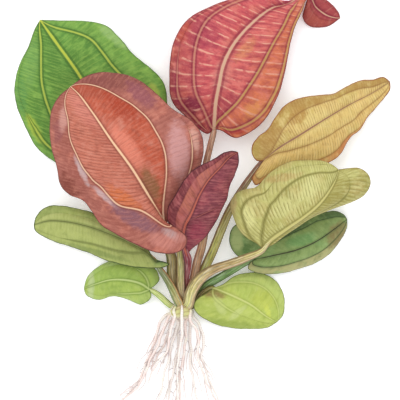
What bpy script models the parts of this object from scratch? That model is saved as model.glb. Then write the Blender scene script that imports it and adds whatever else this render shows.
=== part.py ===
"""A bare-root reni echinodorus, laid on its back.

Metres, +Z up. The plant lies on the plane Z = 0 with its leaves towards +Y and its roots
towards -Y, and is seen from +Z. Every point below is in millimetres.
"""

import math

import bmesh
import bpy
import numpy as np
from mathutils import Vector

MM = 0.001
BLADE_THICKNESS = 0.9
BLADE_EASE = 1.2
BLADE_CROWDING = 0.5
STALK_SIDES = 8
STALK_RINGS = 8
STALK_DEPTH = (2.6, 2.8, 2.4, 2.2)
ROOT_RADIUS = 1.25
ROOT_TIP_RADIUS = 0.5
ROOT_POINTS = 13
GAP = 0.3

# The short stem: its middle, and half its size in each direction.
CROWN_CENTRE = (-15.75, -78.75, 8.7)
CROWN_HALF = (8.5, 6.5, 8.5)

# Each blade is ruled from its midrib to its two margins, all from base to tip.
# A rise is the height of such a line above the surface, at even steps from base to tip.
# A lead under 1 lets a margin run ahead of the midrib, so that the base lobes spread.
# In a matched blade, the points of the three lines face each other one by one.
LEAVES = {
    "green": {
        "colour": (0.19, 0.40, 0.07),
        "midrib": [(-62, 26), (-67, 44), (-78.5, 74), (-93.5, 100.5), (-108.5, 121.5), (-122.5, 141)],
        "left": [
            (-62, 26), (-72.5, 20), (-86, 21), (-99.5, 27), (-111.5, 34), (-123.5, 43), (-133, 59),
            (-140, 76), (-142, 89), (-138.5, 106), (-130, 124), (-126.5, 134), (-122.5, 141),
        ],
        "right": [
            (-62, 26), (-51.5, 26), (-39.5, 39), (-30.5, 58), (-26.5, 76.5), (-29.5, 94), (-38, 103.5),
            (-53, 116), (-62.5, 127.5), (-71.5, 136), (-88, 140), (-107, 140.5), (-122.5, 141),
        ],
        "rise": (8, 12, 14, 14, 11, 5),
        "left_rise": (8, 5, 2, 0.7, 0.6, 2, 5),
        "right_rise": (8, 8, 10, 12, 10, 6, 5),
        "bulge": (3, 3),
        "lead": (0.8, 0.85),
        "steps": (14, 8),
        "stalk": [
            (-19, -70.5, 8.3), (-21.5, -62, 9), (-23, -51, 10.5), (-23.5, -38, 12), (-27.5, -25, 12),
            (-32, -11, 11), (-42.5, 7, 9.5), (-52, 18, 7.5), (-60.5, 25, 6),
        ],
        "stalk_width": (5.0, 7.0, 4.5, 3.4),
    },
    "russet": {
        "colour": (0.42, 0.13, 0.08),
        "midrib": [(-28, -13), (-38, 4.5), (-52, 28), (-68, 50), (-83, 72), (-94, 86), (-98.5, 90)],
        "left": [
            (-28, -13), (-22, -17), (-16, -18), (-11.5, -23), (-13, -30), (-21.5, -34.5), (-33.5, -34),
            (-48.5, -28.5), (-63.5, -21), (-75.5, -13.5), (-83, -3), (-89, 4.5), (-99.5, 9), (-106, 16),
            (-109, 29), (-113, 44), (-114.5, 58), (-113, 72), (-107, 83), (-98.5, 90),
        ],
        "right": [
            (-28, -13), (-20, -5), (-9.5, 11), (-2, 29), (1, 44), (-2, 57), (-10, 66), (-22, 73),
            (-32, 82.5), (-43, 92), (-54.5, 98), (-67, 100.5), (-80.5, 100), (-92, 95), (-98.5, 90),
        ],
        "rise": (42, 51, 57, 60, 58, 52, 46),
        "left_rise": (42, 72, 68, 56, 46, 40, 36, 34, 34, 38, 46),
        "right_rise": (42, 42, 44, 46, 45, 43, 42, 43, 46),
        "bulge": (3, 4),
        "lead": (0.7, 0.8),
        "steps": (22, 10),
        "stalk": [
            (-15.2, -70.5, 11.2), (-16.2, -62, 12.5), (-16.4, -51, 16), (-16.5, -41, 21), (-17, -34, 26),
            (-19, -25, 34), (-23, -18, 38.8), (-27.5, -13.5, 40),
        ],
        "stalk_width": (4.2, 5.4, 5.0, 3.6),
    },
    "purple": {
        "colour": (0.22, 0.04, 0.06),
        "midrib": [
            (-11.5, -38), (-14.5, -25), (-13, -14), (-8, -4), (-2, 10), (5, 21), (12.5, 29), (20, 37),
            (26.5, 41),
        ],
        "left": [
            (-11.5, -38), (-15.5, -29), (-18.5, -19.5), (-23.5, -16), (-26.5, -9), (-26, -1), (-20.5, 9),
            (-14.5, 19), (-8, 27), (0.5, 32), (8.5, 36), (16, 40.5), (22, 42), (26.5, 41),
        ],
        "right": [
            (-11.5, -38), (-9.5, -33), (-3.5, -28), (3.5, -21), (9.5, -12), (14.5, -2), (18.5, 7),
            (20.5, 16), (24.5, 25), (27, 33), (26.5, 41),
        ],
        "rise": (34, 46, 56, 62, 65, 65, 60),
        "left_rise": (34, 39.3, 44, 49.7, 57, 62, 65, 66, 64, 60),
        "right_rise": (34, 36, 41, 46, 50, 53, 56, 60),
        "bulge": (2, 2),
        "lead": (0.9, 1.0),
        "steps": (14, 8),
        "stalk": [
            (-13, -71, 7.3), (-12, -62, 9.3), (-12, -56, 13.5), (-11.6, -51, 17.5), (-11, -44, 24),
            (-11.5, -37, 32),
        ],
        "stalk_width": (4.0, 2.6, 3.4, 4.0),
        "stalk_colour": (0.15, 0.03, 0.04),
    },
    "red": {
        "colour": (0.48, 0.10, 0.11),
        "midrib": [
            (8.5, 58.5), (9, 67), (10, 79), (12.5, 92), (15.5, 106), (21.5, 119), (30.5, 131),
            (42.5, 142.5), (52, 149), (60.5, 151), (67, 153), (73, 158), (77.5, 160.5), (81.5, 157),
            (85, 151), (92, 145.5), (98.5, 143), (104, 142.5),
        ],
        "left": [
            (8.5, 58.5), (2.5, 55), (-9.5, 65), (-23, 79.5), (-25, 98), (-22, 123), (-11, 141),
            (7, 151), (26.5, 157.5), (43, 160), (56, 155), (65, 152), (73, 157.5), (81.5, 162),
            (90.5, 158), (98.5, 152), (102.5, 147), (104, 142.5),
        ],
        "right": [
            (8.5, 58.5), (14.5, 57), (26.5, 52), (44.5, 63), (56.5, 82.5), (62.5, 104), (66, 123),
            (70, 136), (73, 143), (75.5, 149), (77.5, 154.5), (80, 159), (80.5, 160), (77.5, 152),
            (75.5, 142.5), (81.5, 136), (94, 136), (104, 142.5),
        ],
        "rise": (22, 25, 28, 31, 32, 31, 29, 25, 22, 20, 18, 15, 11, 7.5, 4.5, 2.5, 1.4, 0.8),
        "left_rise": (22, 20, 18, 18, 18, 19, 21, 22, 21, 18, 12, 6.5, 4, 3, 2.5, 1.8, 1.2, 0.8),
        "right_rise": (22, 20, 16, 15, 15, 16, 17, 18, 18.5, 18.5, 17.5, 15.5, 11.5, 7.5, 5, 2.5, 1.2, 0.8),
        "bulge": (3, 3),
        "lead": (1, 1),
        "matched": True,
        "steps": (30, 8),
        "stalk": [
            (-10.3, -70.5, 12.6), (-9, -62, 12.9), (-6.5, -52.5, 13.2), (-4, -41, 15.5), (-1, -31, 18),
            (2, -13.5, 21), (3.5, 9, 22.5), (2.5, 31.5, 22), (5.5, 45, 20.8), (8.3, 56.2, 19.6),
        ],
        "stalk_width": (3.8, 5.6, 5.5, 5.0, 4.4),
    },
    "yellow": {
        "colour": (0.56, 0.42, 0.14),
        "midrib": [(45.5, 34.5), (56.5, 43.5), (73, 54), (92, 66), (110.5, 77), (128, 86), (141.5, 94.5)],
        "left": [
            (45.5, 34.5), (41, 34.5), (37, 40), (37, 46), (41.5, 52.5), (49, 58.5), (54.5, 67.5),
            (62, 76.5), (73, 82), (86.5, 84), (98.5, 85.5), (109, 91), (119, 95.5), (128.5, 96), (137, 98),
            (141.5, 94.5),
        ],
        "right": [
            (45.5, 34.5), (41.5, 28), (37, 21), (39.5, 16.5), (46, 19.5), (56.5, 25.5), (69.5, 28.5),
            (84.5, 30), (97, 34.5), (104.5, 40.5), (108.5, 48), (112, 53), (119, 58.5), (124, 67),
            (130, 74), (137, 82), (141.5, 89), (141.5, 94.5),
        ],
        "rise": (24, 28, 27, 22, 14, 6, 0.8),
        "left_rise": (24, 22, 20, 17, 12, 5, 0.8),
        "right_rise": (24, 27, 25, 20, 15, 9, 3, 0.8),
        "bulge": (2, 2),
        "lead": (0.8, 0.75),
        "steps": (16, 8),
        "stalk": [
            (-9.5, -70.5, 9.5), (-6.5, -63, 9.8), (-2, -54, 10.5), (2.5, -44, 11.5), (8, -32, 13.5),
            (14, -17, 16), (20, -3, 18.5), (27.5, 10, 20.5), (35.5, 22, 21.5), (44.5, 34, 22),
        ],
        "stalk_width": (4.6, 6.0, 6.4, 5.4, 3.6),
    },
    "folded": {
        "colour": (0.50, 0.52, 0.20),
        "midrib": [
            (45.5, -31.5), (50.5, -25), (62, -16.5), (74.5, -8), (86, 1.5), (95, 13), (100, 22.5),
            (101.5, 28),
        ],
        "left": [
            (45.5, -31.5), (40, -27), (32.5, -22.5), (26.5, -16), (23, -7), (20.5, 2), (24.5, 10),
            (31, 13), (40, 15), (47, 22.5), (55, 29), (65.5, 34), (77.5, 35), (89.5, 34.5), (97, 31.5),
            (101.5, 28),
        ],
        "right": [
            (45.5, -31.5), (52, -28.5), (62, -21), (73, -13.5), (86, -5), (99.5, 0), (112, 4), (121, 9),
            (125.5, 17), (123.5, 25), (117.5, 29), (109, 29), (101.5, 28),
        ],
        "rise": (36, 48, 56, 60, 60, 55, 46),
        "left_rise": (36, 34, 34, 35, 37, 39, 42, 46),
        "right_rise": (36, 44, 45, 42, 38, 38, 42, 46),
        "bulge": (8, 2),
        "lead": (0.8, 1.0),
        "steps": (17, 10),
        "stalk": [
            (-11, -73, 15.3), (-9.5, -66, 17), (-4, -56, 21), (1, -51, 23.5), (8.5, -46.5, 26),
            (20.5, -42.5, 29), (32.5, -38, 33), (44.5, -32, 38),
        ],
        "stalk_width": (6.5, 7.4, 6.6, 6.2, 4.0),
    },
    "dark": {
        "colour": (0.14, 0.30, 0.14),
        "midrib": [(40, -39), (54.5, -36), (71, -32), (85, -26), (98.5, -17), (109, -9)],
        "left": [
            (40, -39), (33.5, -39), (26.5, -37), (21.5, -31), (20, -23), (23, -15), (30.5, -10.5),
            (44.5, -10), (62, -10.5), (77, -9), (89.5, -4.5), (100, -3), (107, -6), (109, -9),
        ],
        "right": [
            (40, -39), (35.5, -42), (34, -46), (38.5, -49), (47.5, -50.5), (59.5, -50), (71.5, -47),
            (83.5, -43), (94, -37), (101.5, -29), (106, -22), (109, -15), (109, -9),
        ],
        "rise": (13, 16, 16, 13, 9, 5),
        "left_rise": (13, 15, 17, 18, 15, 10, 5),
        "right_rise": (13, 11, 7, 3, 0.7, 1, 5),
        "bulge": (2, 2),
        "lead": (0.75, 0.8),
        "steps": (14, 8),
        "stalk": [
            (-8.5, -72, 3.2), (-3.5, -66, 3.6), (4, -58.5, 5), (13, -53, 6.5), (23.5, -47, 8.5),
            (32.5, -42, 10.2), (39.5, -39.5, 11),
        ],
        "stalk_width": (4.6, 5.6, 5.4, 3.6),
        "stalk_colour": (0.10, 0.18, 0.07),
    },
    "round": {
        "colour": (0.38, 0.52, 0.14),
        "midrib": [(8, -61), (23, -67), (37, -74), (47.5, -82), (56, -87)],
        "left": [
            (8, -61), (2.5, -65), (-4, -69), (-7, -73.5), (-5, -79), (1, -84), (10, -88.5), (23.5, -91.5),
            (38.5, -92), (49, -91), (56, -87),
        ],
        "right": [
            (8, -61), (15.5, -58), (23, -52.5), (34, -49.5), (45.5, -50), (54.5, -55), (60.5, -64),
            (62, -73.5), (60.5, -82), (56, -87),
        ],
        "rise": (10, 12, 10, 6, 1),
        "left_rise": (10, 13, 12, 7, 2.5, 0.7, 0.6, 1),
        "right_rise": (10, 9.5, 7, 4, 1.5, 0.7, 0.6, 1),
        "bulge": (2, 2),
        "lead": (0.8, 0.9),
        "steps": (13, 8),
        "stalk": [(-7, -74, 7), (-2.5, -67.5, 7.6), (2.5, -63, 8), (8, -61, 8)],
        "stalk_width": (3.6, 4.4, 3.4),
    },
    "olive": {
        "colour": (0.32, 0.40, 0.13),
        "midrib": [
            (-35, -41), (-41, -35), (-56.5, -26), (-73, -19), (-88, -14), (-103, -11), (-116, -10.5),
            (-127, -13.5),
        ],
        "left": [
            (-35, -41), (-29.5, -41), (-25, -43), (-28, -45), (-38, -46), (-49, -45.5), (-60.5, -43.5),
            (-73, -40), (-86, -34.5), (-99.5, -30), (-113, -25.5), (-122, -21), (-126.5, -17),
            (-127, -13.5),
        ],
        "right": [
            (-35, -41), (-38, -37.5), (-40, -33), (-47, -28.5), (-58, -22), (-73, -11), (-84.5, -3.5),
            (-95, -1), (-105.5, 1), (-114.5, 1), (-121, -2), (-125.5, -7.5), (-127, -13.5),
        ],
        "rise": (18, 18, 19, 18, 15, 11),
        "left_rise": (18, 17, 15, 14, 12, 10, 9, 11),
        "right_rise": (18, 17, 16, 15, 13, 10, 11),
        "bulge": (1.5, 1.5),
        "lead": (0.75, 0.9),
        "steps": (15, 8),
        "stalk": [
            (-17.5, -72.3, 14.6), (-20, -67.5, 14.2), (-23.5, -60, 14), (-28, -52.5, 14.3),
            (-32.5, -46, 14.8), (-35, -42, 15.6),
        ],
        "stalk_width": (5.4, 5.8, 5.0, 3.4),
    },
    "curved": {
        "colour": (0.32, 0.48, 0.16),
        "midrib": [(-40, -62), (-46, -58), (-57.5, -55), (-69.5, -55), (-80, -58), (-89, -61.5)],
        "left": [
            (-40, -62), (-38.5, -67), (-41, -71), (-46, -73.5), (-53.5, -71), (-62, -68), (-69.5, -67.5),
            (-77, -70), (-83.5, -69), (-88, -66), (-89.5, -61.5),
        ],
        "right": [
            (-40, -62), (-35.5, -59), (-32.5, -55), (-34, -49), (-39.5, -43), (-50.5, -39), (-63.5, -39),
            (-73, -42), (-81.5, -47), (-87.5, -54), (-89.5, -61.5),
        ],
        "rise": (8, 10, 10, 8, 5, 2),
        "left_rise": (8, 6, 3, 0.8, 0.6, 0.8, 2),
        "right_rise": (8, 6, 4, 3, 1.5, 0.8, 2),
        "bulge": (2, 2),
        "lead": (0.75, 0.8),
        "steps": (14, 8),
        "stalk": [(-24.5, -74, 8), (-28, -71, 8), (-33.5, -66, 7.3), (-39.5, -62.5, 5.6)],
        "stalk_width": (3.4, 4.4, 3.2),
    },
}

# Each root's route after it leaves the crown. Roots that cross lie at different heights.
ROOTS = [
    [
        (-27.5, -82, 4.5), (-32.5, -88.5, 2.6), (-35.5, -98, 1.8), (-38.5, -109, 1.35), (-43, -118.5, 1.35),
        (-46, -128, 1.35), (-52, -136.5, 1.25), (-60.5, -146, 1.25), (-68, -155, 0.8),
    ],
    [
        (-26, -84, 8), (-29.5, -93, 6), (-33.5, -103.5, 5), (-38.5, -113, 4.6), (-42.5, -124, 4.6),
        (-47.5, -133.5, 4.5), (-56, -142, 4.2), (-62.5, -146, 3.6),
    ],
    [(-23, -87, 3.8), (-26.5, -96, 2.2), (-29.5, -105, 1.4), (-35, -115, 1.25), (-39.5, -123, 1.0)],
    [
        (-22, -85.5, 14), (-24.5, -97, 10.5), (-26.5, -107, 8.3), (-32.5, -116, 7.5), (-38, -124.5, 6.9),
        (-41.5, -133, 6),
    ],
    [
        (-19, -86, 8.5), (-20.5, -94.5, 6.5), (-23, -104, 5), (-25, -114, 4.6), (-29, -125, 4.5),
        (-31, -137, 4.4), (-33.5, -150, 4.2), (-35, -163, 3.6),
    ],
    [
        (-17.5, -88, 3.2), (-18.5, -97.5, 2), (-18.5, -108, 1.35), (-20.5, -119, 1.35), (-23.5, -131, 1.25),
        (-26, -145.5, 1.25), (-27.5, -159, 0.8),
    ],
    [
        (-15.5, -87, 14.5), (-16, -97, 11), (-17, -108, 8.5), (-18.5, -119, 7.6), (-19, -131, 7.5),
        (-18.5, -148, 7.2), (-17, -161, 6.4),
    ],
    [
        (-12.5, -87, 8), (-12.5, -97, 6), (-14, -108, 5), (-15.5, -118.5, 4.6), (-17, -129, 4.5),
        (-17, -147, 4.2), (-16, -164, 3.6),
    ],
    [
        (-10, -87, 3.2), (-9.5, -97, 2), (-8.5, -108, 1.35), (-9.5, -119, 1.35), (-7, -131, 1.25),
        (-4, -145.5, 1.25), (-2.5, -160.5, 0.8),
    ],
    [
        (-9.5, -85, 12.5), (-5, -91.5, 9.8), (-2.5, -100.5, 8.2), (-4, -109.5, 7.6), (-2, -119, 7.5),
        (2, -129, 7.5), (7, -139.5, 7.2), (12.5, -151, 6.6),
    ],
    [
        (-7, -82.5, 7), (-2.5, -88.5, 5.5), (0.5, -95, 4.8), (0.5, -104, 4.5), (-1, -113, 4.5),
        (2.5, -123, 4.5), (6.5, -133, 4.4), (11.5, -145, 4.2), (16, -156, 3.6),
    ],
]

STALK_COLOUR = (0.36, 0.31, 0.14)
ROOT_COLOUR = (0.86, 0.80, 0.68)
CROWN_COLOUR = (0.62, 0.48, 0.30)


def clear_scene():
    for old in list(bpy.data.objects):
        bpy.data.objects.remove(old)


def material(name, colour, roughness):
    made = bpy.data.materials.new(name)
    made.use_nodes = True
    shader = made.node_tree.nodes["Principled BSDF"]
    shader.inputs["Base Color"].default_value = (*colour, 1)
    shader.inputs["Roughness"].default_value = roughness
    shader.inputs["Metallic"].default_value = 0
    return made


def smooth_line(points, at, matched=False):
    """A smooth curve through the points, read at fractions of its length or, if matched, of its points."""
    points = np.array(points, float)
    steps = np.linalg.norm(np.diff(points, axis=0), axis=1)
    if matched:
        steps = np.ones(len(steps))
    knots = np.concatenate([[0], np.cumsum(steps)]) / steps.sum()
    slopes = np.gradient(points, knots, axis=0)
    at = np.clip(at, 0, 1)
    span = np.clip(np.searchsorted(knots, at, side="right") - 1, 0, len(points) - 2)
    length = (knots[span + 1] - knots[span])[:, None]
    s = (at - knots[span])[:, None] / length
    start = (1 + 2 * s) * (1 - s) ** 2 * points[span] + s * (1 - s) ** 2 * length * slopes[span]
    end = s * s * (3 - 2 * s) * points[span + 1] + s * s * (s - 1) * length * slopes[span + 1]
    return start + end


def smooth_value(values, at):
    """A smooth value through evenly spaced ones, read at fractions from 0 to 1."""
    values = np.array(values, float)
    slopes = np.gradient(values)
    place = np.clip(at, 0, 1) * (len(values) - 1)
    span = np.clip(place.astype(int), 0, len(values) - 2)
    s = place - span
    start = (1 + 2 * s) * (1 - s) ** 2 * values[span] + s * (1 - s) ** 2 * slopes[span]
    end = s * s * (3 - 2 * s) * values[span + 1] + s * s * (s - 1) * slopes[span + 1]
    return start + end


def blade_points(leaf, along, across):
    """Points of a blade: along runs from base to tip, across from the left margin (-1) to the right (1)."""
    share = np.abs(across)
    matched = leaf.get("matched", False)
    midrib = smooth_line(leaf["midrib"], along, matched)
    plan = np.empty((len(along), 2))
    rise = np.empty(len(along))
    for side, sign, lead, bulge in zip(("left", "right"), (-1, 1), leaf["lead"], leaf["bulge"]):
        half = across * sign >= 0
        reach = along[half] ** lead
        margin = smooth_line(leaf[side], reach, matched)
        share_here = share[half]
        plan[half] = midrib[half] + share_here[:, None] * (margin - midrib[half])
        low = smooth_value(leaf["rise"], along[half])
        high = smooth_value(leaf[side + "_rise"], reach)
        swell = bulge * 4 * share_here * (1 - share_here) * np.sin(math.pi * along[half])
        rise[half] = low + share_here * (high - low) + swell
    return np.column_stack([plan, rise])


def eased(along):
    """Even steps, moved so that they crowd near the base and a little near the tip."""
    crowded = along - BLADE_CROWDING * np.sin(2 * math.pi * along) / (2 * math.pi)
    return np.clip(crowded, 0, 1) ** BLADE_EASE


def moved_grid(long_steps, wide_steps, shape):
    """A flat grid whose points are moved by shape(along, across), both running from 0 to 1."""
    work = bmesh.new()
    bmesh.ops.create_grid(work, x_segments=long_steps, y_segments=wide_steps, size=1)
    flat = np.array([vertex.co[:2] for vertex in work.verts]) / 2 + 0.5
    for vertex, point in zip(work.verts, shape(flat[:, 0], flat[:, 1])):
        vertex.co = Vector(point) * MM
    bmesh.ops.remove_doubles(work, verts=work.verts, dist=0.02 * MM)
    return work


def add_object(work, name, origin, finish, group, parent):
    """An object from the worked mesh, with its own origin at a point of the plant, under its parent."""
    place = Vector(origin) * MM
    bmesh.ops.translate(work, verts=work.verts, vec=-place)
    mesh = bpy.data.meshes.new(name)
    work.to_mesh(mesh)
    work.free()
    mesh.shade_smooth()
    mesh.materials.append(finish)
    thing = bpy.data.objects.new(name, mesh)
    group.objects.link(thing)
    thing.parent = parent
    thing.location = place - parent_place(parent)
    return thing


def parent_place(parent):
    """Where the parent's origin lies on the plant."""
    place = Vector((0, 0, 0))
    while parent:
        place += parent.location
        parent = parent.parent
    return place


def add_blade(name, leaf, group, parent):
    """A leaf blade: the ruled surface, given its thickness."""

    def shape(along, across):
        if "matched" not in leaf:
            along = eased(along)
        return blade_points(leaf, along, across * 2 - 1)

    work = moved_grid(*leaf["steps"], shape)
    base = (*leaf["midrib"][0], leaf["rise"][0])
    finish = material(f"{name}_blade", leaf["colour"], 0.5)
    blade = add_object(work, f"leaf_{name}_blade", base, finish, group, parent)
    sheet = blade.modifiers.new("thickness", "SOLIDIFY")
    sheet.thickness = BLADE_THICKNESS * MM
    sheet.offset = 0
    return blade


def add_stalk(name, leaf, group, parent):
    """A stalk: an oval tube, wide at its sheath, lying flat along its route."""

    def shape(along, round_part):
        route = smooth_line(leaf["stalk"], along)
        ahead = smooth_line(leaf["stalk"], along + 0.01) - smooth_line(leaf["stalk"], along - 0.01)
        ahead /= np.linalg.norm(ahead, axis=1)[:, None]
        sideways = np.cross(ahead, (0, 0, 1))
        sideways /= np.linalg.norm(sideways, axis=1)[:, None]
        upwards = np.cross(sideways, ahead)
        angle = 2 * math.pi * round_part
        half_width = smooth_value(leaf["stalk_width"], along) / 2
        half_depth = smooth_value(STALK_DEPTH, along) / 2
        out = (half_width * np.cos(angle))[:, None] * sideways
        return route + out + (half_depth * np.sin(angle))[:, None] * upwards

    work = moved_grid(STALK_RINGS, STALK_SIDES, shape)
    rims = [edge for edge in work.edges if edge.is_boundary]
    bmesh.ops.holes_fill(work, edges=rims, sides=0)
    bmesh.ops.recalc_face_normals(work, faces=work.faces)
    finish = material(f"{name}_stalk", leaf.get("stalk_colour", STALK_COLOUR), 0.45)
    return add_object(work, f"leaf_{name}_stalk", leaf["stalk"][0], finish, group, parent)


def add_crown(group, parent):
    """The short stem: a sphere drawn out to its half sizes."""
    work = bmesh.new()
    bmesh.ops.create_uvsphere(work, u_segments=14, v_segments=8, radius=1)
    bmesh.ops.scale(work, vec=Vector(CROWN_HALF) * MM, verts=work.verts)
    bmesh.ops.translate(work, vec=Vector(CROWN_CENTRE) * MM, verts=work.verts)
    return add_object(work, "crown", CROWN_CENTRE, material("crown", CROWN_COLOUR, 0.6), group, parent)


def root_start(target):
    """Where a root that heads for the target leaves the crown, a small gap off it."""
    centre = np.array(CROWN_CENTRE)
    way = np.array(target, float) - centre
    way /= np.linalg.norm(way)
    reach = 1 / np.linalg.norm(way / np.array(CROWN_HALF))
    return centre + way * (reach + 2 * GAP)


def add_root(number, route, group, parent):
    """A root: a thin tapered round tube."""
    start = root_start(route[0])
    count = ROOT_POINTS
    at = np.linspace(0, 1, count)
    points = smooth_line([start, *route], at)
    name = f"root_{number:02d}"
    curve = bpy.data.curves.new(name, "CURVE")
    curve.dimensions = "3D"
    curve.bevel_depth = ROOT_RADIUS * MM
    curve.bevel_resolution = 1
    curve.use_fill_caps = True
    spline = curve.splines.new("POLY")
    spline.points.add(count - 1)
    for point, place, part in zip(spline.points, points, at):
        point.co = (*((Vector(place) - Vector(start)) * MM), 1)
        point.radius = 1 - (1 - ROOT_TIP_RADIUS / ROOT_RADIUS) * part**1.5
    curve.materials.append(material(name, ROOT_COLOUR, 0.5))
    root = bpy.data.objects.new(name, curve)
    group.objects.link(root)
    root.parent = parent
    root.location = Vector(start) * MM
    return root


def main():
    clear_scene()
    group = bpy.data.collections.new("reni_echinodorus")
    bpy.context.scene.collection.children.link(group)
    plant = bpy.data.objects.new("plant", None)
    group.objects.link(plant)
    add_crown(group, plant)
    for name, leaf in LEAVES.items():
        stalk = add_stalk(name, leaf, group, plant)
        add_blade(name, leaf, group, stalk)
    for number, route in enumerate(ROOTS, start=1):
        add_root(number, route, group, plant)


main()
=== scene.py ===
"""The looks of a bare-root reni echinodorus, laid on its back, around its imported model.

Laid out as a Blender add-on and run as a script. The scene is in metres, and the tables of the
plant's shape are in millimetres. The colours in the tables are screen colours, two digits each for
red, green and blue.
"""

import math
from types import SimpleNamespace

import bpy
import numpy as np
from bpy.props import EnumProperty, FloatProperty, FloatVectorProperty, PointerProperty
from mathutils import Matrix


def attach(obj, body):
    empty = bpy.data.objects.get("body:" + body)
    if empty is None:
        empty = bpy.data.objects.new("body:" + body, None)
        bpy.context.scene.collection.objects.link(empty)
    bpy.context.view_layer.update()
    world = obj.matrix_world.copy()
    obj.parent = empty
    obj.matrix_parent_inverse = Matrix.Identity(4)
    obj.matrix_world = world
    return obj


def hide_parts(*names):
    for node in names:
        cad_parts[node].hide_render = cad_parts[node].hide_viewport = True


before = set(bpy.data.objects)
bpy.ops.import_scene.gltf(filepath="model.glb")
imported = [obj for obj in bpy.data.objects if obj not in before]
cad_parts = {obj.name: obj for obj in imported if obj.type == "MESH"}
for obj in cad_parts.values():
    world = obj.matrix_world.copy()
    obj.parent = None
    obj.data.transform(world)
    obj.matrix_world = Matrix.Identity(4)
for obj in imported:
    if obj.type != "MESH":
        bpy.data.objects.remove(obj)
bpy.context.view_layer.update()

bl_info = {
    "name": "Reni Echinodorus",
    "version": (1, 0, 0),
    "blender": (4, 5, 0),
    "location": "3D View > Sidebar > Plant",
    "description": "Veined leaves, ribbed stalks and fine roots of a bare-root aquarium plant",
    "category": "Add Mesh",
}

MM = 0.001
BODY = "root"

# A blade's left and right sides: their place in a pair and their sign across the blade.
SIDES = ((0, -1), (1, 1))

# How finely the surfaces are divided, in millimetres and in steps.
GRID_STEP = 0.85
LANE_STEP = GRID_STEP / 1.25
LEAST_LANE_STEPS = 6
LANE_CROWDING = 0.8
BLADE_CROWDING = 0.5
BLADE_EASE = 1.2
MEASURING_STEPS = 200
STALK_STEP = 0.9
STALK_SIDES = 40
ROOT_STEPS, ROOT_SIDES = 130, 14
SIDE_ROOT_STEPS, ROOTLET_STEPS, FINE_SIDES = 60, 12, 8
CROWN_STEPS, CROWN_SIDES = 60, 72

# The blades, in millimetres: how far in from the margin each kind of relief is full, the least
# height above the surface, the least thickness and the furthest that a line's distance is told.
RIM_ROUNDING, VEIN_RUN, FURROW_RUN, QUILT_RUN = 0.6, 2, 3, 4
BLADE_FLOOR, STALK_FLOOR, ROOTLET_FLOOR = 0.1, 0.15, 0.35
LEAST_THICKNESS = 0.05
LINE_LIMIT = 12.0

# The relief of a midrib and of a blade's underside, as shares of a vein's and of the top's.
MIDRIB_RELIEF, UNDER_RELIEF, UNDER_QUILT = 1.4, 1.6, 0.7

# The stalks: how many ribs, how far they reach into the crown, how long the sheath is, how deep and
# wide its channel is, their thickness from crown to blade, where they run on along the midrib as
# shares of it, how high above it they start and end there, and how thin they end.
STALK_RIBS = 9
INTO_CROWN = 0.6
SHEATH_RUN = 0.3
CHANNEL_DEPTH, CHANNEL_WIDTH = 0.3, 0.55
STALK_DEPTH = (2.6, 2.8, 2.4, 2.2)
STALK_JOIN = (0.0, 0.02, 0.06, 0.12, 0.2, 0.3)
JOIN_UNDER, JOIN_ON_TOP = (-1.0, -0.5), (0.3, -0.1)
STALK_END = 0.12

# The crown: its middle, its half sizes, how much smaller the stem is and its rings of leaf scars.
CROWN_CENTRE = (-15.75, -78.75, 8.7)
CROWN_HALF = (8.5, 6.5, 8.5)
CROWN_INSET, CROWN_FIT = 0.2, 0.95
SCAR_RINGS = 5

# The roots and the finer roots on each of them.
ROOT_RADIUS, ROOT_TIP_RADIUS, LEAST_RADIUS = 1.25, 0.5, 0.06
SIDE_ROOT_RADIUS, ROOTLET_RADIUS = 0.52, 0.3
SIDE_ROOTS, ROOTLETS = 3, 5
ROOT_CLEARANCE = 0.05

# The camera looks straight down on the middle of the picture.
PICTURE_MIDDLE = (-1.9, 5.25)
PICTURE_WIDTH = 300.0
PICTURE_HEIGHT_ABOVE_FLOOR = 25.0
LENS, SENSOR = 500.0, 36.0

# The stage: the floor's reach in metres and glow, the surround, and each lamp's place, size and power.
FLOOR_REACH, FLOOR_GLOW = 3.0, 0.2
SURROUND, SURROUND_STRENGTH = (0.97, 0.98, 1.0, 1), 1.08
LAMPS = {"key": ((-0.5, 0.7, 1.3), 1.4, 6.5), "fill": ((0.8, -0.5, 1.4), 1.8, 2.0)}


def leaf_shape(matched=False, **shape):
    """A leaf's shape. In a matched blade, the points of its lines face each other one by one."""
    return SimpleNamespace(matched=matched, **shape)


def leaf_look(**look):
    """A leaf's look. What it doesn't say is as on most of the leaves."""
    usual = {"narrowing": 0.6, "margin_width": 0.65, "cross_width": 0.17, "tip": None, "slot": "stalk"}
    return SimpleNamespace(**{**usual, "stalk_on_top": False, **look})


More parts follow.
